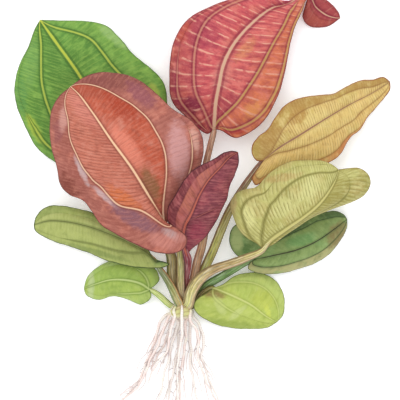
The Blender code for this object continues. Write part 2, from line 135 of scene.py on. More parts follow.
# Each blade is ruled from its midrib to its two margins, all from base to tip. The margins leave out
# the base and the tip, which are the midrib's ends. Margins and the like are pairs, left then right.
# A rise is the height of such a line, at even steps from base to tip.
# A lead under 1 lets a margin run ahead of the midrib, so that the base lobes spread.
# A vein is its share of the way from the midrib to the margin, at even steps from base to tip.
LEAVES = {}
LEAVES["green"] = leaf_shape(
    midrib=[(-62, 26), (-67, 44), (-78.5, 74), (-93.5, 100.5), (-108.5, 121.5), (-122.5, 141)],
    margins=([
        (-72.5, 20), (-86, 21), (-99.5, 27), (-111.5, 34), (-123.5, 43), (-133, 59), (-140, 76), (-142, 89),
        (-138.5, 106), (-130, 124), (-126.5, 134),
    ], [
        (-51.5, 26), (-39.5, 39), (-30.5, 58), (-26.5, 76.5), (-29.5, 94), (-38, 103.5), (-53, 116),
        (-62.5, 127.5), (-71.5, 136), (-88, 140), (-107, 140.5),
    ]),
    rise=(8, 12, 14, 14, 11, 5), margin_rise=((8, 5, 2, 0.7, 0.6, 2, 5), (8, 8, 10, 12, 10, 6, 5)),
    bulge=(3, 3), lead=(0.8, 0.85), stalk_width=(5, 7, 4.5, 3.4),
    veins=([
        (0.5, 0.58, 0.61, 0.57, 0.52, 0.55), (0.8, 0.82, 0.88, 0.93, 0.95, 0.97),
    ], [
        (0.5, 0.56, 0.58, 0.58, 0.57, 0.3),
    ]),
    stalk=[
        (-19, -70.5, 8.3), (-21.5, -62, 9), (-23, -51, 10.5), (-23.5, -38, 12), (-27.5, -25, 12),
        (-32, -11, 11), (-42.5, 7, 9.5), (-52, 18, 7.5), (-60.5, 25, 6),
    ],
)
LEAVES["russet"] = leaf_shape(
    midrib=[(-28, -13), (-38, 4.5), (-52, 28), (-68, 50), (-83, 72), (-94, 86), (-98.5, 90)],
    margins=([
        (-22, -17), (-16, -18), (-11.5, -23), (-13, -30), (-21.5, -34.5), (-33.5, -34), (-48.5, -28.5),
        (-63.5, -21), (-75.5, -13.5), (-83, -3), (-89, 4.5), (-99.5, 9), (-106, 16), (-109, 29), (-113, 44),
        (-114.5, 58), (-113, 72), (-107, 83),
    ], [
        (-20, -5), (-9.5, 11), (-2, 29), (1, 44), (-2, 57), (-10, 66), (-22, 73), (-32, 82.5), (-43, 92),
        (-54.5, 98), (-67, 100.5), (-80.5, 100), (-92, 95),
    ]),
    rise=(42, 51, 57, 60, 58, 52, 46),
    margin_rise=((42, 72, 68, 56, 46, 40, 36, 34, 34, 38, 46), (42, 42, 44, 46, 45, 43, 42, 43, 46)),
    bulge=(3, 4), lead=(0.7, 0.8), stalk_width=(4.2, 5.4, 5, 3.6),
    veins=([
        (0.4, 0.29, 0.34, 0.54, 0.61, 0.57, 0.61, 0.62, 0.57, 0.64, 0.7),
    ], [
        (0.05, 0.19, 0.32, 0.42, 0.53, 0.63, 0.62, 0.58, 0.59, 0.6, 0.65),
        (0.6, 0.72, 0.78, 0.83, 0.93, 0.97, 0.97, 0.97, 0.97, 0.97, 0.97),
    ]),
    stalk=[
        (-15.2, -70.5, 11.2), (-16.2, -62, 12.5), (-16.4, -51, 16), (-16.5, -41, 21), (-17, -34, 26),
        (-19, -25, 34), (-23, -18, 38.8), (-27.5, -13.5, 40),
    ],
)
LEAVES["purple"] = leaf_shape(
    midrib=[
        (-11.5, -38), (-14.5, -25), (-13, -14), (-8, -4), (-2, 10), (5, 21), (12.5, 29), (20, 37),
        (26.5, 41),
    ],
    margins=([
        (-15.5, -29), (-18.5, -19.5), (-23.5, -16), (-26.5, -9), (-26, -1), (-20.5, 9), (-14.5, 19),
        (-8, 27), (0.5, 32), (8.5, 36), (16, 40.5), (22, 42),
    ], [
        (-9.5, -33), (-3.5, -28), (3.5, -21), (9.5, -12), (14.5, -2), (18.5, 7), (20.5, 16), (24.5, 25),
        (27, 33),
    ]),
    rise=(34, 46, 56, 62, 65, 65, 60),
    margin_rise=((34, 39.3, 44, 49.7, 57, 62, 65, 66, 64, 60), (34, 36, 41, 46, 50, 53, 56, 60)),
    bulge=(2, 2), lead=(0.9, 1), stalk_width=(3.8, 3, 4.6, 6.2),
    veins=([
        (0.5, 0.5, 0.55, 0.58, 0.55, 0.5),
    ], [
        (0.1, 0.1, 0.1, 0.04, 0.38, 0.78, 0.9, 0.92, 0.92, 0.92, 0.92),
    ]),
    stalk=[
        (-13, -71, 7.3), (-12, -62, 9.3), (-12, -56, 13.5), (-11.6, -51, 17.5), (-11, -44, 24),
        (-11.5, -37, 32),
    ],
)
LEAVES["red"] = leaf_shape(
    midrib=[
        (8.5, 58.5), (9, 67), (10, 79), (12.5, 92), (15.5, 106), (21.5, 119), (30.5, 131), (42.5, 142.5),
        (52, 149), (60.5, 151), (67, 153), (73, 158), (77.5, 160.5), (81.5, 157), (85, 151), (92, 145.5),
        (98.5, 143), (104, 142.5),
    ],
    margins=([
        (2.5, 55), (-9.5, 65), (-23, 79.5), (-25, 98), (-22, 123), (-11, 141), (7, 151), (26.5, 157.5),
        (43, 160), (56, 155), (65, 152), (73, 157.5), (81.5, 162), (90.5, 158), (98.5, 152), (102.5, 147),
    ], [
        (14.5, 57), (26.5, 52), (44.5, 63), (56.5, 82.5), (62.5, 104), (66, 123), (70, 136), (73, 143),
        (75.5, 149), (77.5, 154.5), (80, 159), (80.5, 160), (77.5, 152), (75.5, 142.5), (81.5, 136),
        (94, 136),
    ]),
    rise=(22, 25, 28, 31, 32, 31, 29, 25, 22, 20, 18, 15, 11, 7.5, 4.5, 2.5, 1.4, 0.8),
    margin_rise=(
        (22, 20, 18, 18, 18, 19, 21, 22, 21, 18, 12, 6.5, 4, 3, 2.5, 1.8, 1.2, 0.8),
        (22, 20, 16, 15, 15, 16, 17, 18, 18.5, 18.5, 17.5, 15.5, 11.5, 7.5, 5, 2.5, 1.2, 0.8),
    ),
    bulge=(3, 3), lead=(1, 1), matched=True, stalk_width=(3.8, 5.6, 5.5, 5, 4.4),
    veins=([
        (0.5, 0.45, 0.51, 0.61, 0.75, 0.8, 0.8, 0.8, 0.8, 0.8, 0.8),
        (0.8, 0.82, 0.84, 0.87, 0.92, 0.95, 0.96, 0.96, 0.96, 0.96, 0.96),
    ], [
        (0.3, 0.36, 0.47, 0.61, 0.7, 0.57, 0.4, 0.3, 0.3, 0.35, 0.4),
        (0.6, 0.74, 0.9, 0.95, 0.95, 0.93, 0.9, 0.9, 0.9, 0.9, 0.9),
    ]),
    stalk=[
        (-10.3, -70.5, 12.6), (-9, -62, 12.9), (-6.5, -52.5, 13.2), (-4, -41, 15.5), (-1, -31, 18),
        (2, -13.5, 21), (3.5, 9, 22.5), (2.5, 31.5, 22), (5.5, 45, 20.8), (8.3, 56.2, 19.6),
    ],
)
LEAVES["yellow"] = leaf_shape(
    midrib=[(45.5, 34.5), (56.5, 43.5), (73, 54), (92, 66), (110.5, 77), (128, 86), (141.5, 94.5)],
    margins=([
        (41, 34.5), (37, 40), (37, 46), (41.5, 52.5), (49, 58.5), (54.5, 67.5), (62, 76.5), (73, 82),
        (86.5, 84), (98.5, 85.5), (109, 91), (119, 95.5), (128.5, 96), (137, 98),
    ], [
        (41.5, 28), (37, 21), (39.5, 16.5), (46, 19.5), (56.5, 25.5), (69.5, 28.5), (84.5, 30), (97, 34.5),
        (104.5, 40.5), (108.5, 48), (112, 53), (119, 58.5), (124, 67), (130, 74), (137, 82), (141.5, 89),
    ]),
    rise=(24, 28, 27, 22, 14, 6, 0.8),
    margin_rise=((24, 22, 20, 17, 12, 5, 0.8), (24, 27, 25, 20, 15, 9, 3, 0.8)), bulge=(2, 2),
    lead=(0.8, 0.75), stalk_width=(4.6, 6, 6.4, 5.4, 3.6),
    veins=([
        (0.05, 0.13, 0.43, 0.53, 0.58, 0.62, 0.67, 0.63, 0.52, 0.4, 0.35),
    ], [
        (0.05, 0.12, 0.3, 0.35, 0.38, 0.44, 0.55, 0.56, 0.59, 0.62, 0.55),
        (0.8, 0.8, 0.82, 0.83, 0.83, 0.84, 0.9, 0.94, 0.96, 0.97, 0.97),
    ]),
    stalk=[
        (-9.5, -70.5, 9.5), (-6.5, -63, 9.8), (-2, -54, 10.5), (2.5, -44, 11.5), (8, -32, 13.5),
        (14, -17, 16), (20, -3, 18.5), (27.5, 10, 20.5), (35.5, 22, 21.5), (44.5, 34, 22),
    ],
)
LEAVES["folded"] = leaf_shape(
    midrib=[
        (45.5, -31.5), (50.5, -25), (62, -16.5), (74.5, -8), (86, 1.5), (95, 13), (100, 22.5), (101.5, 28),
    ],
    margins=([
        (40, -27), (32.5, -22.5), (26.5, -16), (23, -7), (20.5, 2), (24.5, 10), (31, 13), (40, 15),
        (47, 22.5), (55, 29), (65.5, 34), (77.5, 35), (89.5, 34.5), (97, 31.5),
    ], [
        (52, -28.5), (62, -21), (73, -13.5), (86, -5), (99.5, 0), (112, 4), (121, 9), (125.5, 17),
        (123.5, 25), (117.5, 29), (109, 29),
    ]),
    rise=(36, 48, 56, 60, 60, 55, 46),
    margin_rise=((36, 34, 34, 35, 37, 39, 42, 46), (36, 44, 45, 42, 38, 38, 42, 46)), bulge=(8, 2),
    lead=(0.8, 1), stalk_width=(6.5, 7.4, 6.6, 6.2, 4),
    veins=([
        (0.2, 0.28, 0.33, 0.41, 0.56, 0.6, 0.61, 0.6, 0.56, 0.4, 0.3),
        (0.7, 0.7, 0.76, 0.78, 0.8, 0.82, 0.84, 0.84, 0.82, 0.8, 0.8),
    ], [
        (0.5, 0.5, 0.5, 0.5, 0.5, 0.4),
    ]),
    stalk=[
        (-11, -73, 15.3), (-9.5, -66, 17), (-4, -56, 21), (1, -51, 23.5), (8.5, -46.5, 26),
        (20.5, -42.5, 29), (32.5, -38, 33), (44.5, -32, 38),
    ],
)
LEAVES["dark"] = leaf_shape(
    midrib=[(40, -39), (54.5, -36), (71, -32), (85, -26), (98.5, -17), (109, -9)],
    margins=([
        (33.5, -39), (26.5, -37), (21.5, -31), (20, -23), (23, -15), (30.5, -10.5), (44.5, -10), (62, -10.5),
        (77, -9), (89.5, -4.5), (100, -3), (107, -6),
    ], [
        (35.5, -42), (34, -46), (38.5, -49), (47.5, -50.5), (59.5, -50), (71.5, -47), (83.5, -43), (94, -37),
        (101.5, -29), (106, -22), (109, -15),
    ]),
    rise=(13, 16, 16, 13, 9, 5), margin_rise=((13, 15, 17, 18, 15, 10, 5), (13, 11, 7, 3, 0.7, 1, 5)),
    bulge=(2, 2), lead=(0.75, 0.8), stalk_width=(4.6, 5.6, 5.4, 3.6),
    veins=([
        (0.1, 0.15, 0.2, 0.3, 0.41, 0.53, 0.63, 0.72, 0.65, 0.6, 0.59),
    ], [
        (0.6, 0.6, 0.58, 0.58, 0.6, 0.62),
    ]),
    stalk=[
        (-8.5, -72, 3.2), (-3.5, -66, 3.6), (4, -58.5, 5), (13, -53, 6.5), (23.5, -47, 8.5),
        (32.5, -42, 10.2), (39.5, -39.5, 11),
    ],
)
LEAVES["round"] = leaf_shape(
    midrib=[(8, -61), (23, -67), (37, -74), (47.5, -82), (56, -87)],
    margins=([
        (2.5, -65), (-4, -69), (-7, -73.5), (-5, -79), (1, -84), (10, -88.5), (23.5, -91.5), (38.5, -92),
        (49, -91),
    ], [
        (15.5, -58), (23, -52.5), (34, -49.5), (45.5, -50), (54.5, -55), (60.5, -64), (62, -73.5),
        (60.5, -82),
    ]),
    rise=(10, 12, 10, 6, 1),
    margin_rise=((10, 13, 12, 7, 2.5, 0.7, 0.6, 1), (10, 9.5, 7, 4, 1.5, 0.7, 0.6, 1)), bulge=(2, 2),
    lead=(0.8, 0.9), stalk_width=(3.6, 4.4, 3.4),
    veins=([(0.3, 0.34, 0.42, 0.48, 0.5, 0.5)], [(0.6, 0.58, 0.61, 0.63, 0.65, 0.6)]),
    stalk=[(-7, -74, 7), (-2.5, -67.5, 7.6), (2.5, -63, 8), (8, -61, 8)],
)
LEAVES["olive"] = leaf_shape(
    midrib=[
        (-35, -41), (-41, -35), (-56.5, -26), (-73, -19), (-88, -14), (-103, -11), (-116, -10.5),
        (-127, -13.5),
    ],
    margins=([
        (-29.5, -41), (-25, -43), (-28, -45), (-38, -46), (-49, -45.5), (-60.5, -43.5), (-73, -40),
        (-86, -34.5), (-99.5, -30), (-113, -25.5), (-122, -21), (-126.5, -17),
    ], [
        (-38, -37.5), (-40, -33), (-47, -28.5), (-58, -22), (-73, -11), (-84.5, -3.5), (-95, -1),
        (-105.5, 1), (-114.5, 1), (-121, -2), (-125.5, -7.5),
    ]),
    rise=(18, 18, 19, 18, 15, 11),
    margin_rise=((18, 17, 15, 14, 12, 10, 9, 11), (18, 17, 16, 15, 13, 10, 11)), bulge=(1.5, 1.5),
    lead=(0.75, 0.9), stalk_width=(5.4, 5.8, 5, 3.4),
    veins=([
        (0.05, 0.06, 0.33, 0.48, 0.54, 0.6, 0.67, 0.73, 0.75, 0.75, 0.75),
    ], [
        (0.4, 0.45, 0.5, 0.52, 0.5, 0.45),
    ]),
    stalk=[
        (-17.5, -72.3, 14.6), (-20, -67.5, 14.2), (-23.5, -60, 14), (-28, -52.5, 14.3), (-32.5, -46, 14.8),
        (-35, -42, 15.6),
    ],
)
LEAVES["curved"] = leaf_shape(
    midrib=[(-40, -62), (-46, -58), (-57.5, -55), (-69.5, -55), (-80, -58), (-89.5, -61.5)],
    margins=([
        (-38.5, -67), (-41, -71), (-46, -73.5), (-53.5, -71), (-62, -68), (-69.5, -67.5), (-77, -70),
        (-83.5, -69), (-88, -66),
    ], [
        (-35.5, -59), (-32.5, -55), (-34, -49), (-39.5, -43), (-50.5, -39), (-63.5, -39), (-73, -42),
        (-81.5, -47), (-87.5, -54),
    ]),
    rise=(8, 10, 10, 8, 5, 2), margin_rise=((8, 6, 3, 0.8, 0.6, 0.8, 2), (8, 6, 4, 3, 1.5, 0.8, 2)),
    bulge=(2, 2), lead=(0.75, 0.8), stalk_width=(3.4, 4.4, 3.2),
    veins=([(0.2, 0.5, 0.78, 0.8, 0.7, 0.6)], [(0.1, 0.44, 0.66, 0.7, 0.65, 0.6)]),
    stalk=[(-24.5, -74, 8), (-28, -71, 8), (-33.5, -66, 7.3), (-39.5, -62.5, 5.6)],
)

# Gutter shade is how much painted shade darkens the hollows beside the veins.
# The colours of each leaf, as they look in white light. A lane is the strip between two veins, and
# the lanes are listed from the left margin to the right one. Light, deep and accent cloud them.
# Hatch says how strongly each lane shows the strokes and cross veins.
# Shown says how much of a side vein can be seen, from base to tip. Left veins are below 0.
# The band beside each cross vein is painted shade where it is darker than the blade and painted highlight
# where it is paler.
# A patch is its middle, its reach, its turn in degrees, its colour, the two lanes that it stays
# between and its strength. A tip is painted shade over the end of a blade where it bends down: its colour
# and where it starts and is full, from base to tip.
LOOKS = {}
LOOKS["green"] = leaf_look(
    lanes=(0x7aa850, 0x689642, 0x669440, 0x6a9842, 0x76a24a), hatch=(0.5, 0.6, 0.6, 0.55, 0.5),
    light=0x9cc45c, deep=0x48762e, accent=0x68a04a, vein=(0xbcc854, 0xbcc854), midrib=0xc0ca4a,
    margin=0x547234, under=0x8caa68, cross=0xa6c45c, cross_shade=0x4e7e32, vein_width=0.75, midrib_width=1.1,
    vein_strength=0.8, narrowing=0.2, stroke_size=2.2, gutter=0.45, cross_step=3.4, cross_lean=(-0.8, 0.1),
    cross_strength=0.45, strokes=0.7, washes=0.3, wave=1, shown={-2: (0, 0.5)},
    stalk_tones=(0xbc9e74, 0xaca064, 0xaaa862, 0xa8b264), stalk_edges=(0x68703c, 0x78603e),
    patches=[
        (-126, 58, 4, 14, 28, 0xb8ca4a, -3, -1, 0.8), (-137, 86, 5, 18, 4, 0x5a9454, -3, -1, 0.5),
        (-113, 112, 6, 12, 20, 0x528238, -1, 0, 0.6), (-82, 121, 9, 5, -35, 0x54843a, 0, 2, 0.6),
        (-44, 82, 6, 6, 20, 0x5c8c3c, 1, 3, 0.4), (-36, 86, 4, 8, 20, 0xb8c658, 1, 2, 0.7),
        (-129, 108, 7, 22, -8, 0x8eb870, -3, -1, 0.3), (-66, 128, 16, 5, -35, 0xa6c680, 1, 2, 0.6),
        (-112, 70, 6, 20, 12, 0x5a8838, -3, -1, 0.5),
    ],
)
LOOKS["russet"] = leaf_look(
    lanes=(0xa25e54, 0xc87460, 0xc25a40, 0xaa665c, 0xa6625c), hatch=(0.45, 1, 0.45, 0.35, 0.8),
    light=0xda9482, deep=0x844236, accent=0xc06c5a, vein=(0xeec4a4, 0xeec4a4), midrib=0xf6cea8,
    margin=0x703e38, under=0xb07064, cross=0x84463a, cross_shade=0xde927c, vein_width=0.6, midrib_width=0.9,
    vein_strength=0.9, stroke_size=1.3, gutter=0.3, cross_step=2.7, cross_lean=(-0.7, 0.2),
    cross_strength=0.5, strokes=0.55, washes=0.18, wave=0.7, shown={2: (0.1, 0.38)},
    stalk_tones=(0xc6a884, 0xb4b06c, 0xb4aa68, 0xac8a5e), stalk_edges=(0x967a54, 0xd0ac96),
    patches=[
        # The pale salmon patch at (-57, 45), the pale mauve one at (-18, 42) and the pale pink one at (-103,
        # 68) are painted highlights. The pale lilac streaks at (-90, 27) and (-72, 7) are a painted sheen,
        # and the purple one at (-50, -9) is painted shade.
        (-88, 73, 8, 20, 40, 0xde8a7e, -1, 0, 0.6), (-58, 4, 18, 7, -38, 0xd26e38, -1, 0, 0.9),
        (-72, 46, 4, 26, 35, 0xb05c4c, -1, 0, 0.5), (-83, 87, 17, 7, -12, 0xac4e38, 0, 1, 0.8),
        (-60, 76, 9, 20, 50, 0xac422a, 0, 1, 0.9), (-57, 45, 8, 20, 36, 0xe88a74, 0, 1, 0.8),
        (-22, 50, 5, 16, 20, 0xc45c48, 0, 1, 0.5), (-39, 15, 8, 16, 20, 0x865e3c, 0, 1, 0.9),
        (-66, 94, 28, 8, -4, 0x804542, 1, 3, 0.78), (-46, 84, 15, 7, -38, 0x925462, 1, 3, 0.7),
        (-18, 42, 9, 24, 4, 0xd49e9d, 1, 2, 0.88), (-6, 50, 4, 11, 8, 0xe2b2a4, 2, 3, 0.7),
        (-108, 57, 4, 10, 0, 0x8c5058, -2, -1, 0.5), (-103, 68, 4.5, 12, -12, 0xd6a096, -2, -1, 0.75),
        (-102, 10, 10, 18, 20, 0x7c3c32, -2, -1, 0.88), (-90, 27, 2.6, 13, 24, 0xd0babc, -2, -1, 0.75),
        (-72, 7, 2.6, 15, 50, 0xccb6ba, -2, -1, 0.75), (-50, -9, 23, 7, -28, 0x845866, -2, -1, 0.85),
        (-24, -20, 7, 4, -25, 0xc4a6a6, -2, -1, 0.8), (-30, -25, 12, 6, -20, 0xc8847a, -2, -1, 0.75),
        (-17, -23, 6, 4, 20, 0xc88a82, -2, -1, 0.6),
    ],
)
LOOKS["purple"] = leaf_look(
    lanes=(0x703036, 0xb86c5a, 0x8c4450, 0x7c3442), hatch=(0.6, 0.35, 0.9, 0.8), light=0xbc7270,
    deep=0x56202c, accent=0xa44a54, vein=(0xaa5a54, 0xaa5a54), midrib=0xbc6452, margin=0x4c242c,
    under=0x925458, cross=0x582432, cross_shade=0xb66c72, vein_width=0.45, midrib_width=0.65,
    vein_strength=0.8, margin_width=0.91, stroke_size=1.5, gutter=0.35, cross_step=2.6,
    cross_lean=(-0.4, -0.4), cross_strength=0.5, strokes=0.65, washes=0.32, wave=0.3,
    shown={-1: (0, 0), 1: (0.3, 0.56)}, slot="purple_stalk",
    stalk_tones=(0x9e6850, 0x84423e, 0x86323e, 0x7e2a3a), stalk_edges=(0x58242c, 0xaa5a60),
    patches=[
        (-20, -9, 6, 12, -15, 0x70363a, -2, -1, 0.6), (-3, -19, 8, 9, 0, 0xa43e54, 0, 2, 0.6),
        (21, 35, 8, 6, 0, 0x6c2c36, -2, 2, 0.5), (-12, -30, 4, 8, 0, 0x903446, -2, 2, 0.6),
    ],
)
LOOKS["red"] = leaf_look(
    lanes=(0xa4484e, 0xc25a5a, 0xd15e62, 0xdb6c68, 0xdd7c56, 0xe88e5e), hatch=(0.7, 0.8, 0.9, 0.9, 0.7, 0.5),
    light=0xe68e84, deep=0x8e2642, accent=0xca684c, vein=(0xce9478, 0xc4aa62), midrib=0xd8b094,
    margin=0x8c3a3c, under=0xb8706a, cross=0xecb09a, cross_shade=0x9e3a4c, vein_width=0.8, midrib_width=1.15,
    vein_strength=0.65, narrowing=0.5, margin_width=0.91, stroke_size=2, cross_width=0.1, gutter=0.4,
    cross_step=7, cross_lean=(-0.25, -0.25), cross_strength=0.88, strokes=0.5, washes=0.3, wave=0.5,
    # The tip is painted shade where the blade bends down.
    shown={-2: (0.05, 0.3), -1: (0, 0.6), 1: (0, 0.62), 2: (0.05, 0.62)}, tip=(0x9e4446, 0.66, 0.78),
    stalk_tones=(0xc8a07c, 0xc49872, 0xb89268, 0xc49076, 0xc8967e), stalk_edges=(0xba7c6a, 0x966c54),
    patches=[
        # The dark purple patch at (-8, 76) is a painted shadow.
        (-8, 76, 9, 8, 0, 0x802e46, -3, 0, 0.75), (-13, 67, 7, 4, -40, 0xd88e82, -3, -2, 0.6),
        (19, 76, 7, 11, -20, 0xa23c4a, 0, 1, 0.6), (-17, 134, 10, 12, 0, 0xcc6046, -3, -1, 0.6),
        (46, 113, 4.5, 12, -15, 0x9c5e3e, 1, 2, 0.75), (54, 86, 2.5, 20, -27, 0xf0a862, 1, 3, 0.6),
        (15, 99, 8, 14, -20, 0xe29686, -1, 1, 0.5), (43, 104, 5, 12, -20, 0xe08868, 1, 3, 0.5),
        (40, 72, 10, 8, 30, 0xe69c5c, 1, 3, 0.7), (30, 92, 3, 16, -28, 0x8e6842, 1, 2, 0.7),
        (24, 57, 12, 3.5, 5, 0xc6483c, 1, 3, 0.75), (0, 129, 15, 14, 0, 0xa43a52, -2, 0, 0.55),
        (32, 118, 5, 12, -40, 0xd69660, 0, 1, 0.5),
    ],
)
LOOKS["yellow"] = leaf_look(
    lanes=(0xb4904e, 0xdcbe76, 0xe2c47a, 0xe2be74, 0xd69a5c), hatch=(0.25, 0.7, 0.6, 0.6, 0.2),
    light=0xf0dc9a, deep=0xa87c42, accent=0xc4ae5c, vein=(0x946c3c, 0x946c3c), midrib=0x966c58,
    margin=0x965836, under=0xceb87a, cross=0x966c3c, cross_shade=0xeeda9c, vein_width=0.4, midrib_width=0.65,
    vein_strength=0.75, margin_width=0.78, stroke_size=1.1, cross_width=0.2, gutter=0.16, cross_step=1.9,
    cross_lean=(-0.1, 0.3), cross_strength=0.7, strokes=0.6, washes=0.1, wave=0.6, shown={2: (0, 0.7)},
    stalk_tones=(0xb0aa64, 0xb4b462, 0xbab864, 0xa49058, 0x98685c, 0x865450),
    stalk_edges=(0x8e6252, 0xa69658),
    patches=[
        (37, 44, 7, 9, 0, 0xb8a052, -2, 0, 0.6), (50, 66, 4, 17, -45, 0xac8442, -2, -1, 0.7),
        (86, 64, 14, 7, 35, 0xecd68e, -1, 1, 0.5), (71, 68, 9, 6, 40, 0xb48a48, -2, 0, 0.8),
        (118, 80, 9, 5, 40, 0xf0d088, -2, 2, 0.6), (108, 49, 5, 13, -40, 0xc87c4a, 2, 3, 0.8),
        (57, 50, 12, 5, 38, 0xb29c54, -1, 1, 0.55), (48, 26, 10, 4, 30, 0xe0be68, 1, 2, 0.5),
    ],
)
LOOKS["folded"] = leaf_look(
    lanes=(0xbeb96e, 0xc5c278, 0xb9b46b, 0xa29850, 0xa79e54), hatch=(0.7, 0.8, 1, 0.5, 0.8), light=0xdcdc98,
    deep=0x9a944e, accent=0xbea468, vein=(0x7e7a3c, 0x7e7a3c), midrib=0xd0c880, margin=0x7a603a,
    under=0xc4c280, cross=0x847c40, cross_shade=0xe4e2a2, vein_width=0.5, midrib_width=0.9,
    vein_strength=0.85, stroke_size=1.3, cross_width=0.2, gutter=0.45, cross_step=2.4,
    cross_lean=(-0.5, 0.3), cross_strength=0.62, strokes=0.55, washes=0.15, wave=0.4,
    shown={-2: (0, 0.5), 1: (0.25, 0.8)}, stalk_on_top=True,
    stalk_tones=(0xced086, 0xd0c082, 0xaa9062, 0xb49e66, 0xd4cc84), stalk_edges=(0x806642, 0xc8a88a),
    patches=[
        # Painted shade: the brown band under the top margin at (60, 22), the brown line under the ridge at
        # (86, 5), and the dark olive bands beside the left vein at (47, -2) and (60, 14). Painted
        # highlights: the pale patches at (62, 1) and (80, 14).
        (60, 22, 16, 3.5, 10, 0xbc9660, -3, -1, 0.6), (62, 1, 14, 8, 35, 0xdcda96, -1, 0, 0.5),
        (86, 5, 18, 3, 42, 0xb69a56, 0, 1, 0.75), (23, 2, 3, 9, 0, 0xccaa7a, -3, -2, 0.6),
        (108, 24, 12, 4, 8, 0xcecc84, 0, 2, 0.5), (47, -2, 3, 18, -14, 0x8c8644, -1, 0, 0.65),
        (60, 14, 14, 3, -48, 0x928e4a, -1, 0, 0.6), (80, 14, 7, 12, -30, 0xe2e09e, -1, 0, 0.6),
        (34, -7, 5, 10, 8, 0xeceaa2, -3, -1, 0.8), (42, 12, 10, 5, 30, 0xd8d68e, -2, -1, 0.6),
    ],
)
LOOKS["dark"] = leaf_look(
    lanes=(0x70874f, 0x8ba060, 0x8fa564, 0xb8b27c), hatch=(0.3, 0.4, 0.5, 0.2), light=0xacc082,
    deep=0x587640, accent=0x7ea868, vein=(0x3e4c30, 0x3e4c30), midrib=0x40422e, margin=0x54603e,
    under=0x849a70, cross=0x466c40, cross_shade=0x96b67e, vein_width=0.4, midrib_width=0.6,
    vein_strength=0.85, stroke_size=2.4, gutter=0.2, cross_step=3, cross_lean=(0.3, 0.5),
    cross_strength=0.25, strokes=0.35, washes=0.15, wave=0.5, shown={-1: (0.3, 1.1)}, slot="dark_stalk",
    stalk_tones=(0x96985c, 0x8cb870, 0x749a58, 0x6e8650), stalk_edges=(0x42542e, 0x709052),
    patches=[
        # The dark band at (62, -19) is a painted shadow cast by the folded leaf.
        (62, -19, 22, 3.5, 22, 0x3c4c2e, -2, 0, 0.8), (74, -25, 13, 5, 18, 0x689c5c, -1, 0, 0.6),
        (102, -21, 8, 12, -25, 0x8c7a4e, -1, 2, 0.85), (99, -7, 12, 4, 0, 0x4a623c, -2, -1, 0.7),
        (33, -31, 3.5, 4.5, 0, 0x54743e, -2, 0, 0.7), (26, -24, 5, 12, 0, 0xb0bc7e, -2, 0, 0.75),
    ],
)
LOOKS["round"] = leaf_look(
    lanes=(0xb6c664, 0xc0d06c, 0xbcce68, 0xc0d276), hatch=(0.5, 0.5, 0.5, 0.5), light=0xd2da88,
    deep=0x8ea048, accent=0xc4ce5c, vein=(0xccd682, 0xccd682), midrib=0xd2da8a, margin=0x6e7a42,
    under=0xbac67a, cross=0x8ea24c, cross_shade=0xccd680, vein_width=0.55, midrib_width=0.7,
    vein_strength=0.65, stroke_size=2.4, gutter=0.16, cross_step=3.4, cross_lean=(0.3, 0.3),
    cross_strength=0.25, strokes=0.4, washes=0.15, wave=0.6, shown={-1: (0, 0.55)},
    stalk_tones=(0x8c7850, 0x967e54, 0x968c50, 0xaaaa5a), stalk_edges=(0x5a5432, 0x787840),
    patches=[
        # The thin pale streaks at (49, -78), (13, -74) and (26, -80) are painted highlights.
        (8, -65, 10, 4, -12, 0x92764c, -2, 2, 0.9), (49, -78, 2.5, 7, 20, 0xdae468, -2, 2, 0.7),
        (13, -74, 3.5, 9, 30, 0xd0da90, -2, 0, 0.6), (46, -70, 10, 9, 0, 0xc4cc58, -2, 2, 0.5),
        (22, -89, 26, 4.5, -6, 0x8ea448, -2, 2, 0.65), (26, -80, 2.5, 9, -50, 0xd2dc94, -2, 2, 0.6),
    ],
)
LOOKS["olive"] = leaf_look(
    lanes=(0xacb86a, 0xb4be70, 0xb6be74, 0x9caa60), hatch=(0.5, 0.6, 0.5, 0.4), light=0xbcc480,
    deep=0x748244, accent=0xacb660, vein=(0x767e42, 0x767e42), midrib=0x646c3a, margin=0x3e502c,
    under=0xa8b276, cross=0x7c8a4a, cross_shade=0xbcc482, vein_width=0.4, midrib_width=0.55,
    vein_strength=0.75, margin_width=0.72, stroke_size=1.4, gutter=0.3, cross_step=2.4,
    cross_lean=(0.4, 0.6), cross_strength=0.3, strokes=0.4, washes=0.15, wave=0.4,
    shown={-1: (0.05, 0.75), 1: (0, 0)}, stalk_tones=(0xbeaa6e, 0xa0a564, 0x768258, 0x6e824c),
    stalk_edges=(0x788c64, 0xc88c5a),
    patches=[
        (-30, -40, 9, 5, 0, 0x769e5c, -2, 2, 0.7), (-107, -11, 11, 7, 0, 0xb0b86c, -2, 2, 0.3),
        (-64, -15, 20, 3, -30, 0x6c7a3e, 0, 2, 0.6), (-80, -34, 30, 2.5, -16, 0x768848, -2, -1, 0.6),
    ],
)
LOOKS["curved"] = leaf_look(
    lanes=(0xb4ca70, 0xacc460, 0xa2be5c, 0xa8c468), hatch=(0.4, 0.5, 0.5, 0.4), light=0xbcce84,
    deep=0x7c9a44, accent=0xacc054, vein=(0xbed084, 0xbed084), midrib=0xc4d68c, margin=0x748c4c,
    under=0xb0c47e, cross=0x7e9c46, cross_shade=0xb6ca76, vein_width=0.5, midrib_width=0.6,
    vein_strength=0.7, stroke_size=1.8, gutter=0.35, cross_step=3, cross_lean=(0.4, 0.4),
    cross_strength=0.25, strokes=0.45, washes=0.05, wave=0.5, shown={-1: (0, 0.5), 1: (0, 0.35)},
    stalk_tones=(0xceda82, 0xd6e48c, 0xd8e892, 0xd8ea98), stalk_edges=(0x96b25c, 0xbece7c),
    patches=[(-84, -60, 3, 12, 0, 0xc8d6a2, -2, 2, 0.7), (-60, -42, 18, 3, 4, 0xbace88, 1, 2, 0.6)],
)

